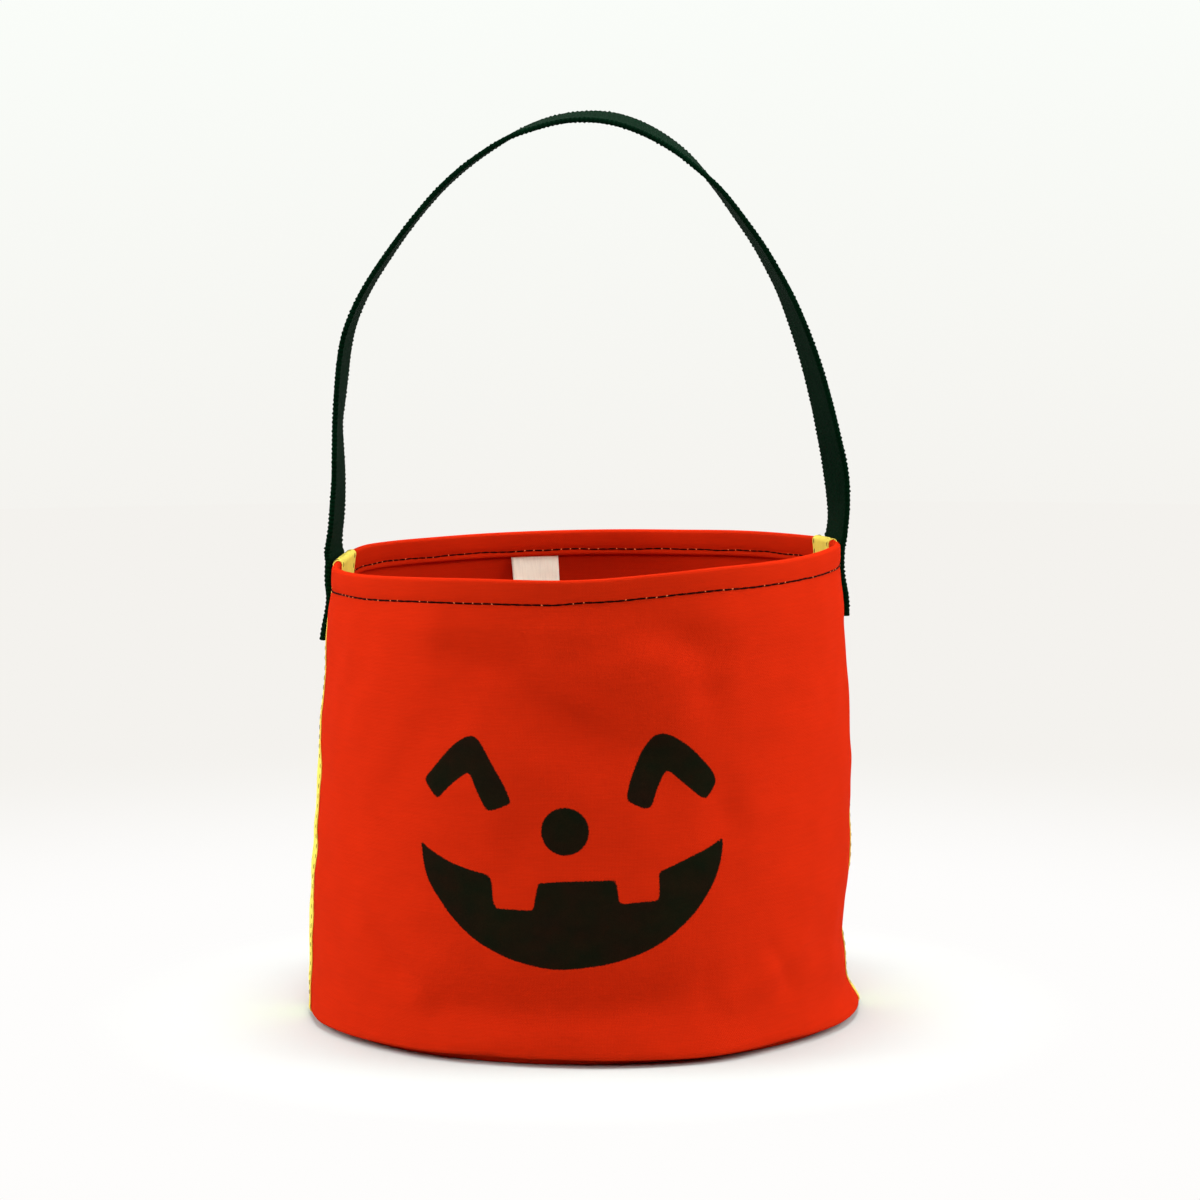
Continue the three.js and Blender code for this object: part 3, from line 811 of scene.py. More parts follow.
def stitches(name, line, normals, pitch, thread, gap, sink, seed, stray=0.1, proud=0.2):
    """One mesh of stitches along a line in mm, lying on the side that the normals give.

    thread is its thickness, gap the share of the pitch left free, sink how deep the ends dip, stray
    how far they may miss the line, and proud the share of the thread that the middle stands off it.
    """
    draw = random.Random(seed)
    lengths = lengths_along(line)
    count = max(1, int(round(lengths[-1] / pitch)))
    pitch = lengths[-1] / count
    share = np.linspace(0, 1, RINGS)
    arched = np.sin(np.pi * share)
    lift = -sink + (sink + thread * proud) * arched**0.45
    radius = (thread / 2 * (0.72 + 0.28 * arched))[:, None, None]
    turn = np.linspace(0, math.tau, SIDES, endpoint=False)[:, None]
    one = stitch_faces()
    points, faces = [], []
    for k in range(count):
        start, end = k * pitch + pitch * gap / 2, (k + 1) * pitch - pitch * gap / 2
        start, end = start + draw.uniform(-0.1, 0.1), end + draw.uniform(-0.1, 0.1)
        tilt = (draw.uniform(-stray, stray), draw.uniform(-stray, stray))
        at = start + (end - start) * share
        centre = read_along(line, lengths, at)
        normal = unit(read_along(normals, lengths, at))
        sideways = unit(np.cross(normal, unit(np.gradient(centre, axis=0))))
        aside = tilt[0] + (tilt[1] - tilt[0]) * share
        centre = centre + normal * lift[:, None] + sideways * aside[:, None]
        # The thread is pressed flat: wider along the cloth than it is tall.
        flattened = sideways[:, None] * np.cos(turn) * 1.15 + normal[:, None] * np.sin(turn) * 0.8
        points.append((centre[:, None] + radius * flattened).reshape(-1, 3))
        faces += [[k * RINGS * SIDES + corner for corner in face] for face in one]
    return finish_mesh(name, np.concatenate(points), faces)


def thread_locks(name, line, normals, pitch, seed):
    """The light bits of under thread that show in some of the needle holes along a line."""
    draw = random.Random(seed)
    lengths = lengths_along(line)
    count = max(1, int(round(lengths[-1] / pitch)))
    ends = np.array([-1, 0, 1])
    bits = []
    for k in range(1, count):
        if draw.random() > LOCKS_SHOWN:
            continue
        length, slant = draw.uniform(0.5, 0.9), draw.uniform(-0.25, 0.25)
        at = k * lengths[-1] / count + length / 2 * ends
        bit = read_along(line, lengths, at)
        bit[:, 2] += slant * ends + draw.uniform(-0.1, 0.25)
        normal = read_along(normals, lengths, at)
        bits.append(stitches(
            f"{name}_{k}", bit, normal, length, thread=0.42, gap=0.0, sink=0.1, seed=seed + k,
            stray=0.0, proud=0.35,
        ))
    return join(name, bits)


def on_wall(angle, height, out, inside):
    """A line on the wall, and which way is off the cloth there."""
    grid = wall_point(angle, height, out)
    ahead = unit(np.gradient(grid, axis=0))
    up = unit(wall_point(angle, height + 0.5, out) - wall_point(angle, height - 0.5, out))
    normal = np.cross(ahead, up)
    normal = normal * np.sign((normal * outward_of(angle)).sum(-1, keepdims=True))
    return grid, -normal if inside else normal


HEM_PITCH = 4.18
HEM_START = 6.7  # degrees from the side seam, where the tape ends and the hem's stitches show
HEM_STITCHED = 182.0  # the stitches' height, for where the seams are


def hem_line(start_side, depth_of, inside):
    """The hem's stitch line from one tape to the other, on the outer or the inner face."""
    angle = np.linspace(*panel_ends(start_side, HEM_STITCHED, HEM_START), 900)
    height = WALL_HEIGHT - depth_of(angle)
    out = -HEM_THICKNESS + SQUEEZE * 1.3 if inside else -SQUEEZE * 0.8
    return on_wall(angle, height, out - rim_draw(angle, height), inside)


threads, locks = [], []
for number, (side, depth_of) in enumerate([(-1, front_stitch_depth), (1, back_stitch_depth)]):
    for inside in (False, True):
        line, normals = hem_line(side, depth_of, inside)
        name = f"hem_stitches_{number}_{inside}"
        # The stitches nearly touch, so the row reads as one dark line with light dots in it.
        threads.append(stitches(
            name, line, normals, HEM_PITCH, thread=0.66, gap=-0.06, sink=0.12, seed=2 + number,
            stray=0.08, proud=0.05,
        ))
        locks.append(thread_locks(name + "_locks", line, normals, HEM_PITCH, 12 + number))
print("hem sewn with", len(threads), "rows of stitches")

# %% [markdown]
# The tapes are sewn down along both edges, through the wall and, at the rim, through the hem. The
# stitches follow the tape from the bottom corner, over the fold and down inside.

# %% Sew the tapes down
TAPE_EDGE = 1.9  # from the tape's edge to its stitching


def tape_stitches(name, side, edge, seed):
    """Stitches along one edge of a tape: edge -1 is the one in front, and 1 the one behind."""
    at = np.linspace(6, tape_lengths[-1] - 2, 700)
    out, height = read_along(tape_rows, tape_lengths, at).T
    across = edge * (TAPE_WIDTH / 2 - TAPE_EDGE) + 0.6 * tape_wander(at, side)
    angle = tape_angle(side, across, out, height)
    # The way off the tape turns from level, over the rim, to level again inside.
    over_rim = np.arctan2(height - HEM_FOLD, out + HEM_THICKNESS / 2)
    turn = np.where(height > HEM_FOLD, over_rim, np.where(out > -1, 0, np.pi))
    off = out + TAPE / 2 * np.cos(turn) - rim_draw(angle, height)
    line = wall_point(angle, height + TAPE / 2 * np.sin(turn), off)
    normal = outward_of(angle) * np.cos(turn)[:, None] + np.array([0, 0, 1.0]) * np.sin(turn)[:, None]
    return stitches(name, line, unit(normal), 4.25, thread=0.56, gap=0.35, sink=0.2, seed=seed, proud=0.1)


for side, word in ((-1, "left"), (1, "right")):
    for edge, end in ((-1, "front"), (1, "back")):
        threads.append(tape_stitches(f"{word}_tape_stitches_{end}", side, edge, 40 + 3 * side + edge))
print("threads so far:", len(threads))

# %% [markdown]
# The ends of the handle carry a box of stitching with a cross in it, the usual way to fix webbing.

# %% Sew the handle's ends
def box_stitches(name, side, seed):
    """A box of stitches with one diagonal on a sewn end, and then the other diagonal."""
    low, high = (LEFT_FOOT + 8, 187.0) if side < 0 else (RIGHT_FOOT + 5, 191.0)
    half = WEBBING_WIDTH / 2 - 2.2
    box = [(-half, low), (half, low), (half, high), (-half, high), (-half, low), (half, high)]
    cross = [(half, low), (-half, high)]
    heights = path[:, 2] - CLEAR
    leg = np.flatnonzero(path[:, 0] * side > 60)
    leg = leg[np.argsort(heights[leg])]
    outward = np.cross(path_along, path_wide)
    outward = outward * np.sign(outward[:, :1] * side)
    share = np.linspace(0, 1, 60)
    made = []
    for number, row in enumerate((box, cross)):
        line, normal = [], []
        for (x0, z0), (x1, z1) in zip(row[:-1], row[1:]):
            wide, tall = x0 + (x1 - x0) * share, z0 + (z1 - z0) * share
            middle, width, off = (
                read_along(values[leg], heights[leg], tall) for values in (path, path_wide, outward)
            )
            line.append(middle + unit(width) * wide[:, None] + unit(off) * (WEBBING / 2 - 0.05))
            normal.append(unit(off))
        made.append(stitches(
            f"{name}_{number}", np.concatenate(line), np.concatenate(normal), 3.6,
            thread=0.6, gap=0.2, sink=0.25, seed=seed + number,
        ))
    return made


threads += box_stitches("left_handle_stitches", -1, 60) + box_stitches("right_handle_stitches", 1, 70)
print("threads so far:", len(threads))

# %% [markdown]
# The base seam's stitching holds the binding. It shows only on the binding's inner face.

# %% Sew the binding, and join all black thread to one piece
def binding_stitches():
    turn = np.linspace(0, math.tau, 1400)
    z = CLEAR + 7.4 + 0.2 * np.sin(turn * 17)
    radius = BASE_EDGE - CANVAS - SEAM_PLAY - BINDING + follow_wall(turn, z)
    line = np.stack([radius * np.cos(turn), radius * np.sin(turn), z], 1)
    inward = -outward_of(np.degrees(turn))
    return stitches("binding_stitches", line, inward, 4.2, thread=0.6, gap=0.2, sink=0.2, seed=80)


threads.append(binding_stitches())
black_thread = join("black_sewing_thread", threads)
orange_thread = join("orange_under_thread", locks)
print("black thread", len(black_thread.data.polygons), "faces")

# %% [markdown]
# ## The print
# The grinning face is a flat black print on the front panel. Its outline is drawn on the flat cloth
# in millimetres, and each point of the cloth stores how far it is from that outline, less than zero
# inside. The material turns the distance into ink, so the edge is sharp at any resolution and the
# print bends with the cloth. A picture would also work, but the distance needs no picture.

# %% Draw the face and measure the distance from it
LEFT_EYE = [
    (-62.9, 103.4), (-67.6, 108.5), (-68.8, 110.6), (-66.5, 113.6), (-57.7, 123.2), (-53, 126.9),
    (-48.6, 129), (-45.1, 128.4), (-42.4, 125.2), (-37.9, 118), (-33.4, 110.7), (-30.5, 104.2),
    (-31.3, 102.5), (-37.6, 100), (-40.4, 100.3), (-44.3, 106.8), (-47.4, 113.2), (-48.7, 114.2),
    (-51.9, 112.4), (-57.3, 108), (-61.2, 104),
]
RIGHT_EYE = [
    (16.2, 105), (17.4, 110.4), (19.9, 116.4), (23.4, 123.1), (27.6, 128.6), (31.2, 130.2), (35.5, 129.3),
    (42.7, 124.9), (48.7, 119.1), (53.2, 114), (54.7, 110.4), (53.9, 107.8), (50.9, 104), (48.9, 103.5),
    (45.5, 105.7), (39.6, 110.8), (35.3, 114.4), (33.8, 115), (32.2, 113.5), (29.2, 107.9), (27, 102.3),
    (25.6, 100.9), (23.3, 100.7), (19.8, 102.2), (16.9, 103.7),
]
NOSE_AT, NOSE_RADIUS = (-8.4, 92.2), 9.6
UNPRINTED = 40.0  # the distance kept where no ink can be
MOUTH_TOP = [
    (57.2, 87.7), (49.7, 83.8), (42.2, 80.7), (35, 77.7), (29.8, 75.7), (29.1, 74.6), (28.9, 65.1),
    (27.9, 64.2), (21, 63.8), (13.9, 63.3), (13, 64.4), (12, 71.2), (11.6, 72.6), (10.3, 73),
    (-9.7, 72.3), (-18.5, 71.6), (-19.1, 70.5), (-20.7, 61.4), (-21.8, 60.6), (-35.2, 60.9),
    (-36.3, 61.6), (-37.1, 64.2), (-37.9, 71.7), (-38.9, 73.7), (-41.5, 74.6), (-47.4, 75.9),
    (-55.1, 78), (-59.9, 80.1), (-65.7, 82.9), (-69.6, 85.9),
]
MOUTH_LOW = [
    (-69.6, 85.9), (-68.4, 78.2), (-66.2, 71.5), (-63.6, 67), (-59.4, 61.9), (-53.1, 54.9), (-45.5, 48.6),
    (-38.2, 44.4), (-29.8, 40.8), (-21.6, 38.7), (-13.5, 37.4), (-5.6, 37.5), (2.3, 38.3), (10.2, 39.7),
    (19.6, 42.4), (27.8, 46.1), (36.2, 51.7), (43.4, 58), (47.9, 63.8), (51.7, 69.7), (55, 77.6),
    (57.2, 87.7),
]


def outline_distance(x, y, outline):
    """Distance from points to a closed outline, less than zero inside it."""
    best, inside = np.full(x.shape, 1e9), np.zeros(x.shape, bool)
    for (x0, y0), (x1, y1) in zip(outline, np.roll(outline, -1, axis=0)):
        dx, dy = x1 - x0, y1 - y0
        share = np.clip(((x - x0) * dx + (y - y0) * dy) / (dx * dx + dy * dy), 0, 1)
        best = np.minimum(best, np.hypot(x - x0 - share * dx, y - y0 - share * dy))
        crosses = (y0 > y) != (y1 > y)
        inside ^= crosses & (x < x0 + (y - y0) * dx / (dy if dy else 1e-9))
    return np.where(inside, -best, best)


def print_distance(x, y):
    mouth = np.concatenate([np.array(MOUTH_TOP)[:-1], spline(MOUTH_LOW, 2.5)[:-1]])
    far = outline_distance(x, y, mouth)
    for eye in (LEFT_EYE, RIGHT_EYE):
        far = np.minimum(far, outline_distance(x, y, spline(eye + eye[:1], 1.2)[:-1]))
    return np.minimum(far, np.hypot(x - NOSE_AT[0], y - NOSE_AT[1]) - NOSE_RADIUS)


def mark_print():
    """Stores the distance on the front panel: the outer face of the wall only."""
    far = print_distance(around(front_angle, FRONT) * ARC_MM, front_height)
    far = np.where(front_wall, far, UNPRINTED)
    edge = np.full((len(far), 1), UNPRINTED)
    values = np.concatenate([far, edge, np.full_like(far, UNPRINTED), edge], axis=1)
    layer = front_canvas.data.attributes.new("print_distance_mm", "FLOAT", "POINT")
    layer.data.foreach_set("value", values.astype(np.float32).ravel())
    return values.min()


print("deepest point of the print is", round(float(mark_print()), 1), "mm from its edge")

# %% [markdown]
# ## Materials
# Colours are written as a designer would, in sRGB hex, and turned to the linear values that the
# shader needs. One function adds any node with its settings and its links. All the cloths here are
# dyed; uneven yarn makes their colour lighter and darker at random, and their weave paints shade
# between the yarns and light on the crowns into it. They end in the same matt shader.

# %% Colours and the node helper
def linear(colour):
    """An sRGB hex colour as the linear values a shader works in."""
    parts = [int(colour[k : k + 2], 16) / 255 for k in (1, 3, 5)]
    return tuple(p / 12.92 if p <= 0.04045 else ((p + 0.055) / 1.055) ** 2.4 for p in parts) + (1.0,)


def add(tree, kind, inputs=(), **settings):
    """Adds a node, sets what it is told to, and fills or links its inputs by name or number."""
    made = tree.nodes.new(kind)
    for setting, value in settings.items():
        setattr(made, setting, value)
    for socket, value in dict(inputs).items():
        if isinstance(value, bpy.types.NodeSocket):
            tree.links.new(value, made.inputs[socket])
        else:
            made.inputs[socket].default_value = value
    return made


def start_material(name):
    material = bpy.data.materials.new(name)
    material.use_nodes = True
    material.node_tree.nodes.clear()
    return material, material.node_tree


def tone_and_shade(tree, colour, *shades):
    """A colour, made lighter and darker by numbers around 1: uneven tone and painted light and shade."""
    shade = shades[0]
    for other in shades[1:]:
        shade = add(tree, "ShaderNodeMath", {0: shade, 1: other}, operation="MULTIPLY").outputs[0]
    grey = add(tree, "ShaderNodeCombineColor", {0: shade, 1: shade, 2: shade})
    made = add(
        tree, "ShaderNodeMix", {"Factor": 1.0, "A": linear(colour), "B": grey.outputs[0]},
        data_type="RGBA", blend_type="MULTIPLY",
    )
    return made.outputs["Result"]


def matt_shader(tree, colour, relief, roughness, specular):
    """Ends a material as matt fibre: a rough surface with the little gloss it is told."""
    shader = add(tree, "ShaderNodeBsdfPrincipled", {
        "Base Color": colour, "Roughness": roughness, "Specular IOR Level": specular, "IOR": 1.5,
        "Normal": relief.outputs[0],
    })
    add(tree, "ShaderNodeOutputMaterial", {0: shader.outputs[0]})


print("middle grey in linear light:", round(linear("#808080")[0], 3))

# %% [markdown]
# ### Canvas: piece-dyed cotton duck in a plain weave
# Cotton duck is two sets of yarns, one over one under, so its surface is a small chequer of crowned
# yarns. It has almost no gloss. Yarns vary in thickness, which shows as faint level streaks. The
# chequer is drawn from the flat map in millimetres, one yarn every 0.55 mm, as a bump and as painted
# shade between the yarns with painted light on their crowns.

# %% Weave the canvas
YARN = 0.55
CANVAS_ORANGE, INK_WARM, INK_GREEN = "#c7270a", "#1a110a", "#0e160b"


def flat_map(tree):
    """The place on the flat cloth in mm, and its two parts."""
    place = add(tree, "ShaderNodeUVMap", uv_map=WEAVE_MAP).outputs[0]
    return place, add(tree, "ShaderNodeSeparateXYZ", {0: place}).outputs


def yarns(tree, way, pitch):
    """Yarns side by side: a wave that is 0 between them, and its height, 1 at each yarn's crown."""
    turn = add(tree, "ShaderNodeMath", {0: way, 1: math.pi / pitch}, operation="MULTIPLY")
    wave = add(tree, "ShaderNodeMath", {0: turn.outputs[0]}, operation="SINE").outputs[0]
    return wave, add(tree, "ShaderNodeMath", {0: wave}, operation="ABSOLUTE").outputs[0]


def plain_weave(tree, pitch):
    """The height of a plain weave over the flat map, and the map itself."""
    place, ways = flat_map(tree)
    (warp, warp_crown), (weft, weft_crown) = (yarns(tree, ways[axis], pitch) for axis in (0, 1))
    chequer = add(tree, "ShaderNodeMath", {0: warp, 1: weft}, operation="MULTIPLY")
    over = add(tree, "ShaderNodeMath", {0: chequer.outputs[0], 1: 0.0}, operation="GREATER_THAN")
    height = add(
        tree, "ShaderNodeMix", {"Factor": over.outputs[0], "A": warp_crown, "B": weft_crown},
        data_type="FLOAT",
    )
    return height.outputs[0], place


def uneven(tree, place, scale_x, scale_y, low, high):
    """Noise stretched over the flat map, so many lumps to a millimetre each way, from low to high."""
    stretched = add(tree, "ShaderNodeMapping", {"Vector": place, "Scale": (scale_x, scale_y, 1)})
    noise = add(tree, "ShaderNodeTexNoise", {"Vector": stretched.outputs[0], "Scale": 1.0, "Detail": 2.0})
    spread = add(tree, "ShaderNodeMapRange", {0: noise.outputs[0], 1: 0.3, 2: 0.7, 3: low, 4: high})
    return spread.outputs[0]


def print_over(tree, place, colour):
    """The colour with ink over it wherever the distance to the drawn outline is less than zero."""
    far = add(tree, "ShaderNodeAttribute", attribute_name="print_distance_mm").outputs["Fac"]
    ragged = uneven(tree, place, 1 / 0.7, 1 / 0.7, -0.18, 0.18)
    edge = add(tree, "ShaderNodeMath", {0: far, 1: ragged}, operation="ADD").outputs[0]
    ink = add(
        tree, "ShaderNodeMapRange", {0: edge, 1: -0.3, 2: 0.25, 3: 1.0, 4: 0.0},
        interpolation_type="SMOOTHSTEP",
    )
    patchy = uneven(tree, place, 1 / 9, 1 / 7, 0.992, 1.0)
    cover = add(tree, "ShaderNodeMath", {0: ink.outputs[0], 1: patchy}, operation="MULTIPLY")
    tint = uneven(tree, place, 1 / 30, 1 / 30, 0.0, 1.0)
    black = add(
        tree, "ShaderNodeMix", {"Factor": tint, "A": linear(INK_WARM), "B": linear(INK_GREEN)},
        data_type="RGBA",
    )
    covered = add(
        tree, "ShaderNodeMix", {"Factor": cover.outputs[0], "A": colour, "B": black.outputs["Result"]},
        data_type="RGBA",
    )
    return covered.outputs["Result"]


def canvas_material(printed):
    material, tree = start_material("plain_weave_cotton_duck_" + ("printed" if printed else "dyed_orange"))
    weave, place = plain_weave(tree, YARN)
    slubs = uneven(tree, place, 1 / 14, 1 / 0.9, 0.97, 1.03)
    patches = uneven(tree, place, 1 / 26, 1 / 26, 0.97, 1.03)
    # The weave's height also sets the colour: painted shade between the yarns and painted light on their
    # crowns.
    painted_weave_shade = add(tree, "ShaderNodeMapRange", {0: weave, 1: 0.0, 2: 1.0, 3: 0.86, 4: 1.06}).outputs[0]
    colour = tone_and_shade(tree, CANVAS_ORANGE, slubs, patches, painted_weave_shade)
    if printed:
        colour = print_over(tree, place, colour)
    yarn_relief = add(tree, "ShaderNodeBump", {"Strength": 0.55, "Distance": 0.00012, "Height": weave})
    relief = add(tree, "ShaderNodeBump", {
        "Strength": 0.25, "Distance": 0.00025, "Height": slubs, "Normal": yarn_relief.outputs[0],
    })
    matt_shader(tree, colour, relief, roughness=0.95, specular=0.01)
    return material


printed_duck, plain_duck = canvas_material(True), canvas_material(False)
front_canvas.data.materials.append(printed_duck)
back_canvas.data.materials.append(plain_duck)
base_canvas.data.materials.append(plain_duck)
print("canvas in linear light:", [round(x, 3) for x in linear(CANVAS_ORANGE)[:3]])

# %% [markdown]
# ### Tape, binding and label: light woven cloths
# The tape is a fine cotton twill, the binding black cotton, and the label a dense cream weave. All
# three are matt, and finer than the canvas, so their yarns are 0.3 to 0.4 mm. A twill's ribs run on the
# slant, so the tape has a slanted wave in place of the chequer.

# %% Finish the tapes, the binding and the label
def light_cloth(name, colour, yarn, shade_low, roughness, slant=None):
    material, tree = start_material(name)
    weave, place = plain_weave(tree, yarn)
    if slant:
        turned = add(tree, "ShaderNodeMapping", {"Vector": place, "Rotation": (0, 0, math.radians(slant))})
        # A wave texture of scale 1 has 20 / tau waves to a millimetre of the map.
        rib = add(tree, "ShaderNodeTexWave", {
            "Vector": turned.outputs[0], "Scale": math.tau / (20 * yarn), "Distortion": 0.6,
        })
        weave = rib.outputs["Fac"]
    patches = uneven(tree, place, 1 / 11, 1 / 11, 0.94, 1.04)
    slubs = uneven(tree, place, 1 / 0.8, 1 / 9, 0.94, 1.05)
    # The weave's height also sets the colour: painted shade between the yarns and painted light on their
    # crowns.
    painted_weave_shade = add(tree, "ShaderNodeMapRange", {0: weave, 1: 0.0, 2: 1.0, 3: shade_low, 4: 1.03}).outputs[0]
    relief = add(tree, "ShaderNodeBump", {"Strength": 0.5, "Distance": 0.0001, "Height": weave})
    matt_shader(tree, tone_and_shade(tree, colour, patches, slubs, painted_weave_shade), relief, roughness, specular=0.12)
    return material


tape_cloth = light_cloth("twill_woven_cotton_tape", "#f3df5e", 0.4, 0.9, 0.85, slant=45)
binding_cloth = light_cloth("plain_woven_bias_binding", "#15130f", 0.4, 0.75, 0.9)
label_cloth = light_cloth("dense_woven_cotton_label", "#fffbe6", 0.3, 0.95, 0.8)
left_tape.data.materials.append(tape_cloth)
right_tape.data.materials.append(tape_cloth)
base_binding.data.materials.append(binding_cloth)
label.data.materials.append(label_cloth)
print("light cloths:", tape_cloth.name, binding_cloth.name, label_cloth.name)

# %% [markdown]
# ### Webbing and thread: black polypropylene and polyester
# Polypropylene webbing is woven from thick bundles that run along it in ribs about 1.4 mm apart, held
# by a weft every 1.9 mm. The weft sits half a turn further on every other rib. The black has a green
# cast, and in soft light it shows next to no gloss, only paler crowns: the crowns' light and the shade
# between the ribs are painted into its colour. Sewing thread is two or three plies, whose twist is too
# fine to draw, so a fine noise stands for it.

# %% Finish the webbing and the thread
RIB = 1.4
WEBBING_BLACK = "#031d0e"


def webbing_material():
    material, tree = start_material("woven_polypropylene_webbing")
    place, ways = flat_map(tree)
    rib_wave, rib = yarns(tree, ways[0], RIB)
    odd = add(tree, "ShaderNodeMath", {0: rib_wave, 1: 0.0}, operation="GREATER_THAN")
    shift = add(tree, "ShaderNodeMath", {0: odd.outputs[0], 1: TOOTH / 2}, operation="MULTIPLY")
    along = add(tree, "ShaderNodeMath", {0: ways[1], 1: shift.outputs[0]}, operation="ADD")
    _, weft = yarns(tree, along.outputs[0], TOOTH)
    raised = add(tree, "ShaderNodeMath", {0: weft, 1: 0.4}, operation="POWER")
    height = add(tree, "ShaderNodeMath", {0: rib, 1: raised.outputs[0]}, operation="MULTIPLY").outputs[0]
    patches = uneven(tree, place, 1 / 1.2, 1 / 14, 0.75, 1.3)
    # The ribs' height sets the colour too: painted light on their crowns and painted shade between them.
    crown = add(tree, "ShaderNodeMapRange", {0: height, 1: 0.0, 2: 1.0, 3: 0.45, 4: 1.15}).outputs[0]
    relief = add(tree, "ShaderNodeBump", {"Strength": 0.7, "Distance": 0.0003, "Height": height})
    matt_shader(tree, tone_and_shade(tree, WEBBING_BLACK, patches, crown), relief, roughness=0.65, specular=0.006)
    return material


def thread_material(name, colour, roughness):
    material, tree = start_material(name)
    where = add(tree, "ShaderNodeTexCoord")
    ply = add(tree, "ShaderNodeTexNoise", {
        "Vector": where.outputs["Object"], "Scale": 2600.0, "Detail": 1.0,
    }).outputs[0]
    shade = add(tree, "ShaderNodeMapRange", {0: ply, 1: 0.3, 2: 0.7, 3: 0.7, 4: 1.25}).outputs[0]
    relief = add(tree, "ShaderNodeBump", {"Strength": 0.5, "Distance": 0.0001, "Height": ply})
    matt_shader(tree, tone_and_shade(tree, colour, shade), relief, roughness, specular=0.02)
    return material


handle.data.materials.append(webbing_material())
black_thread.data.materials.append(thread_material("spun_polyester_thread_black", "#1c0503", 0.8))
orange_thread.data.materials.append(thread_material("spun_polyester_thread_orange", "#ee7a4c", 0.7))
print("webbing and thread finished")

# %% [markdown]
# ## The floor, the background and the light
# The floor is matt pale paper, so the bag's soft shadow falls on it. Away from the bag the camera sees
# plain colours instead, near white with a slightly warmer middle, and the paper fades into them. The
# surround is seen the same way, and its own light is very faint.

# %% Paper floor and surround
FLOOR_REACH = 2600.0
PAPER = "#cdd4d1"
NEAR_WHITE, LOW_WARM, HIGH_COOL = "#fefdfc", "#f4f2ee", "#fafdf9"


def seen_directly(tree):
    """1 for a ray from the camera, a gloss or a glass, which sees the background as a plain colour."""
    ray = add(tree, "ShaderNodeLightPath").outputs
    seen = ray["Is Camera Ray"]
    for other in ("Is Glossy Ray", "Is Transmission Ray"):
        seen = add(tree, "ShaderNodeMath", {0: seen, 1: ray[other]}, operation="MAXIMUM").outputs[0]
    return seen


def paper_floor():
    """A round of matt paper whose lit middle fades to the surround's plain colour."""
    turns = np.linspace(0, math.tau, 96, endpoint=False)
    rim = [(FLOOR_REACH * MM * math.cos(t), FLOOR_REACH * MM * math.sin(t), -0.0001) for t in turns]
    mesh = bpy.data.meshes.new("paper_floor")
    mesh.from_pydata(rim, [], [list(range(len(rim)))])
    floor = link("paper_floor", mesh)
    material, tree = start_material("matt_white_paper")
    where = add(tree, "ShaderNodeNewGeometry")
    far = add(tree, "ShaderNodeVectorMath", {0: where.outputs["Position"]}, operation="LENGTH")
    plain, tone = (
        add(
            tree, "ShaderNodeMapRange", {0: far.outputs["Value"], 1: near_m, 2: far_m, 3: 0.0, 4: 1.0},
            interpolation_type="SMOOTHSTEP",
        )
        for near_m, far_m in ((0.128, 0.22), (0.30, 0.80))
    )
    shown = add(
        tree, "ShaderNodeMath", {0: plain.outputs[0], 1: seen_directly(tree)}, operation="MULTIPLY"
    )
    colour = add(
        tree, "ShaderNodeMix", {"Factor": tone.outputs[0], "A": linear(NEAR_WHITE), "B": linear(LOW_WARM)},
        data_type="RGBA",
    )
    paper = add(tree, "ShaderNodeBsdfDiffuse", {"Color": linear(PAPER)})
    plain_colour = add(tree, "ShaderNodeEmission", {"Color": colour.outputs["Result"], "Strength": 1.0})
    mix = add(tree, "ShaderNodeMixShader", {
        0: shown.outputs[0], 1: paper.outputs[0], 2: plain_colour.outputs[0],
    })
    add(tree, "ShaderNodeOutputMaterial", {0: mix.outputs[0]})
    mesh.materials.append(material)
    return floor


def surround(strength):
    """A pale surround: its own light is even, and what is seen of it is warmer low down."""
    world = bpy.data.worlds.new("pale_surround")
    bpy.context.scene.world = world
    world.use_nodes = True
    tree = world.node_tree
    tree.nodes.clear()
    where = add(tree, "ShaderNodeTexCoord")
    split = add(tree, "ShaderNodeSeparateXYZ", {0: where.outputs["Generated"]})
    rise = add(tree, "ShaderNodeMapRange", {0: split.outputs[2], 1: -0.10, 2: 0.05, 3: 0.0, 4: 1.0})
    tone = add(
        tree, "ShaderNodeMix", {"Factor": rise.outputs[0], "A": linear(LOW_WARM), "B": linear(HIGH_COOL)},
        data_type="RGBA",
    )
    shown = add(tree, "ShaderNodeBackground", {"Color": tone.outputs["Result"], "Strength": 1.0})
    fill = add(tree, "ShaderNodeBackground", {"Color": linear("#ffffff"), "Strength": strength})
    mix = add(tree, "ShaderNodeMixShader", {
        0: seen_directly(tree), 1: fill.outputs[0], 2: shown.outputs[0],
    })
    add(tree, "ShaderNodeOutputWorld", {0: mix.outputs[0]})


SURROUND_LIGHT = 0.03
floor = paper_floor()
surround(SURROUND_LIGHT)
print("floor and surround ready")

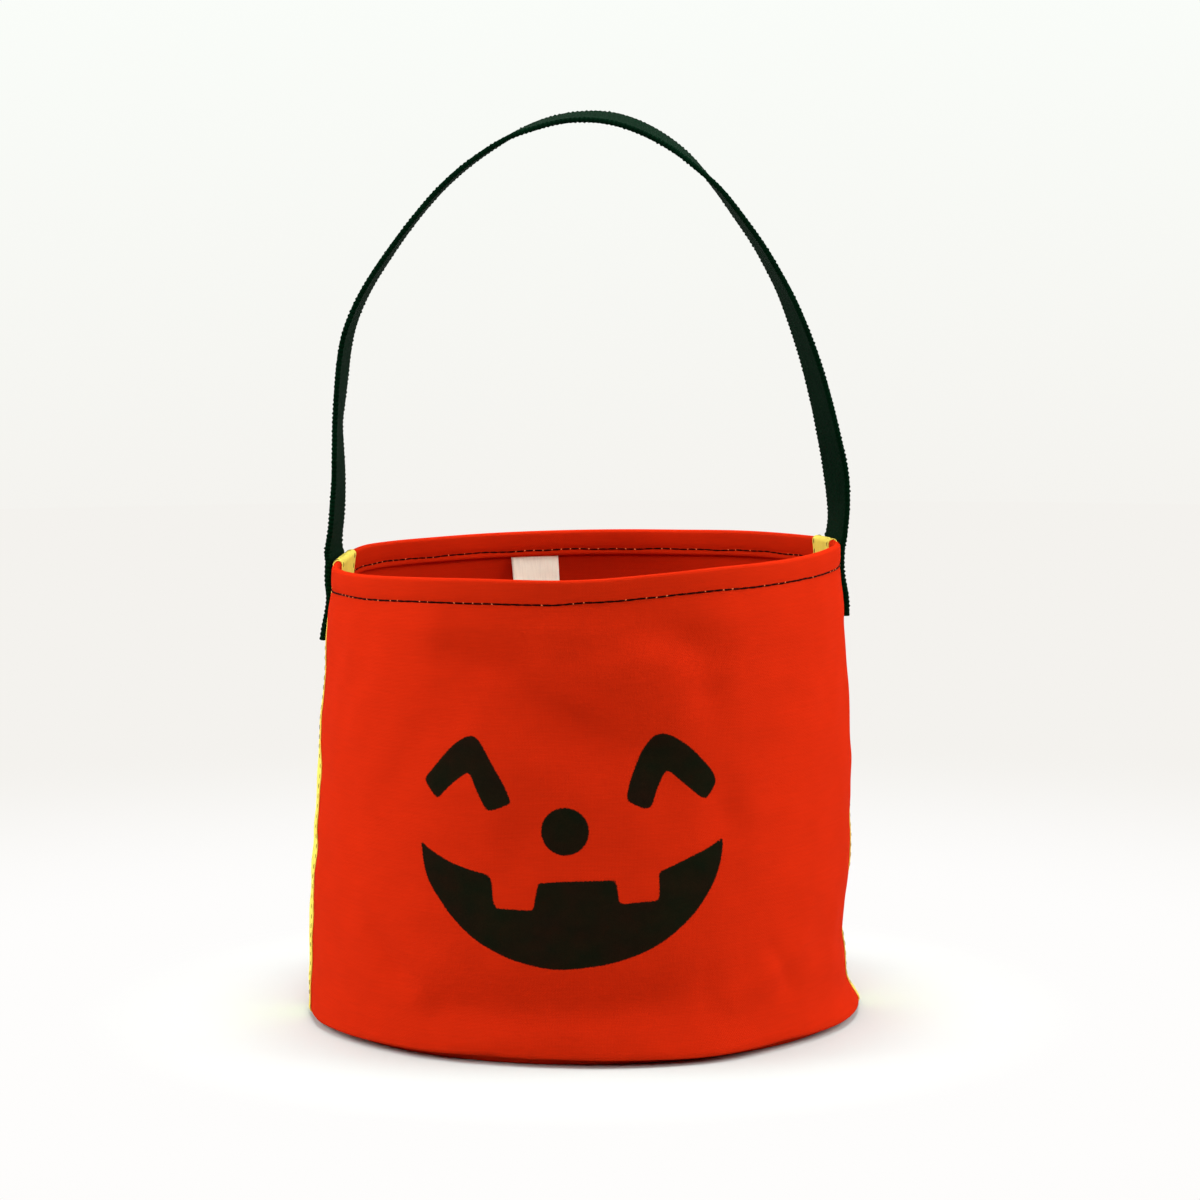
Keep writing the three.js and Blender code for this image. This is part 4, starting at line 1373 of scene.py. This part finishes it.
# %% [markdown]
# The light is that of a plain studio. A large soft light stands at each side, one hangs overhead, and
# a weaker one stands in front and one behind. Most of it comes from the sides and from above, so the
# middle of the front is the darkest and the hem throws a soft shadow.

# %% Soft lights at the sides, above, in front and behind
MIDDLE = (0, 0, 130)


def soft_light(name, at, size, power):
    """A square soft light in mm, of so many watts, that faces the bag's middle."""
    data = bpy.data.lights.new(name, "AREA")
    data.shape, data.size, data.energy = "SQUARE", size * MM, power
    light = link(name, data)
    light.location = [x * MM for x in at]
    light.rotation_euler = (Vector(MIDDLE) - Vector(at)).to_track_quat("-Z", "Y").to_euler()
    return light


LIGHTS = [
    soft_light("left_soft_light", (-1200, 0, 700), 900, 16.2),
    soft_light("right_soft_light", (1200, 0, 700), 900, 16.6),
    soft_light("top_soft_light", (0, -150, 1500), 700, 15.5),
    soft_light("front_soft_light", (0, -1500, 1100), 700, 10.0),
    soft_light("back_soft_light", (0, 500, 1500), 700, 9.0),
]
bpy.context.scene.view_settings.view_transform = "Standard"
print("lights:", [light.name for light in LIGHTS])

# %% [markdown]
# ## Fit the pieces to the model
# Each soft solid of the imported model is stood for by its cloth. The sewn pieces ride on the bucket.
# The webbing rides on nothing: it stays where it was made, in place of the handle's parts.

# %% Rides, and what each piece replaces
def fit(piece, body, slot, *nodes):
    if body:
        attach(piece, body)
    if nodes:
        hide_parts(*nodes)


fit(front_canvas, "bucket", "orange_canvas", "front_panel")
fit(back_canvas, "bucket", "orange_canvas", "back_panel")
fit(base_canvas, "bucket", "orange_canvas", "base_panel")
fit(base_binding, "bucket", "black_binding", "base_binding")
fit(label, "bucket", "cream_label", "inner_label")
fit(left_tape, "bucket", "yellow_tape", "left_side_tape")
fit(right_tape, "bucket", "yellow_tape", "right_side_tape")
fit(black_thread, "bucket", "black_webbing")
fit(orange_thread, "bucket", "orange_canvas")
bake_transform(handle)
fit(
    handle, None, "black_webbing",
    "left_handle_end", "left_handle_flex", "handle_loop", "right_handle_flex", "right_handle_end",
)
print("pieces fitted")
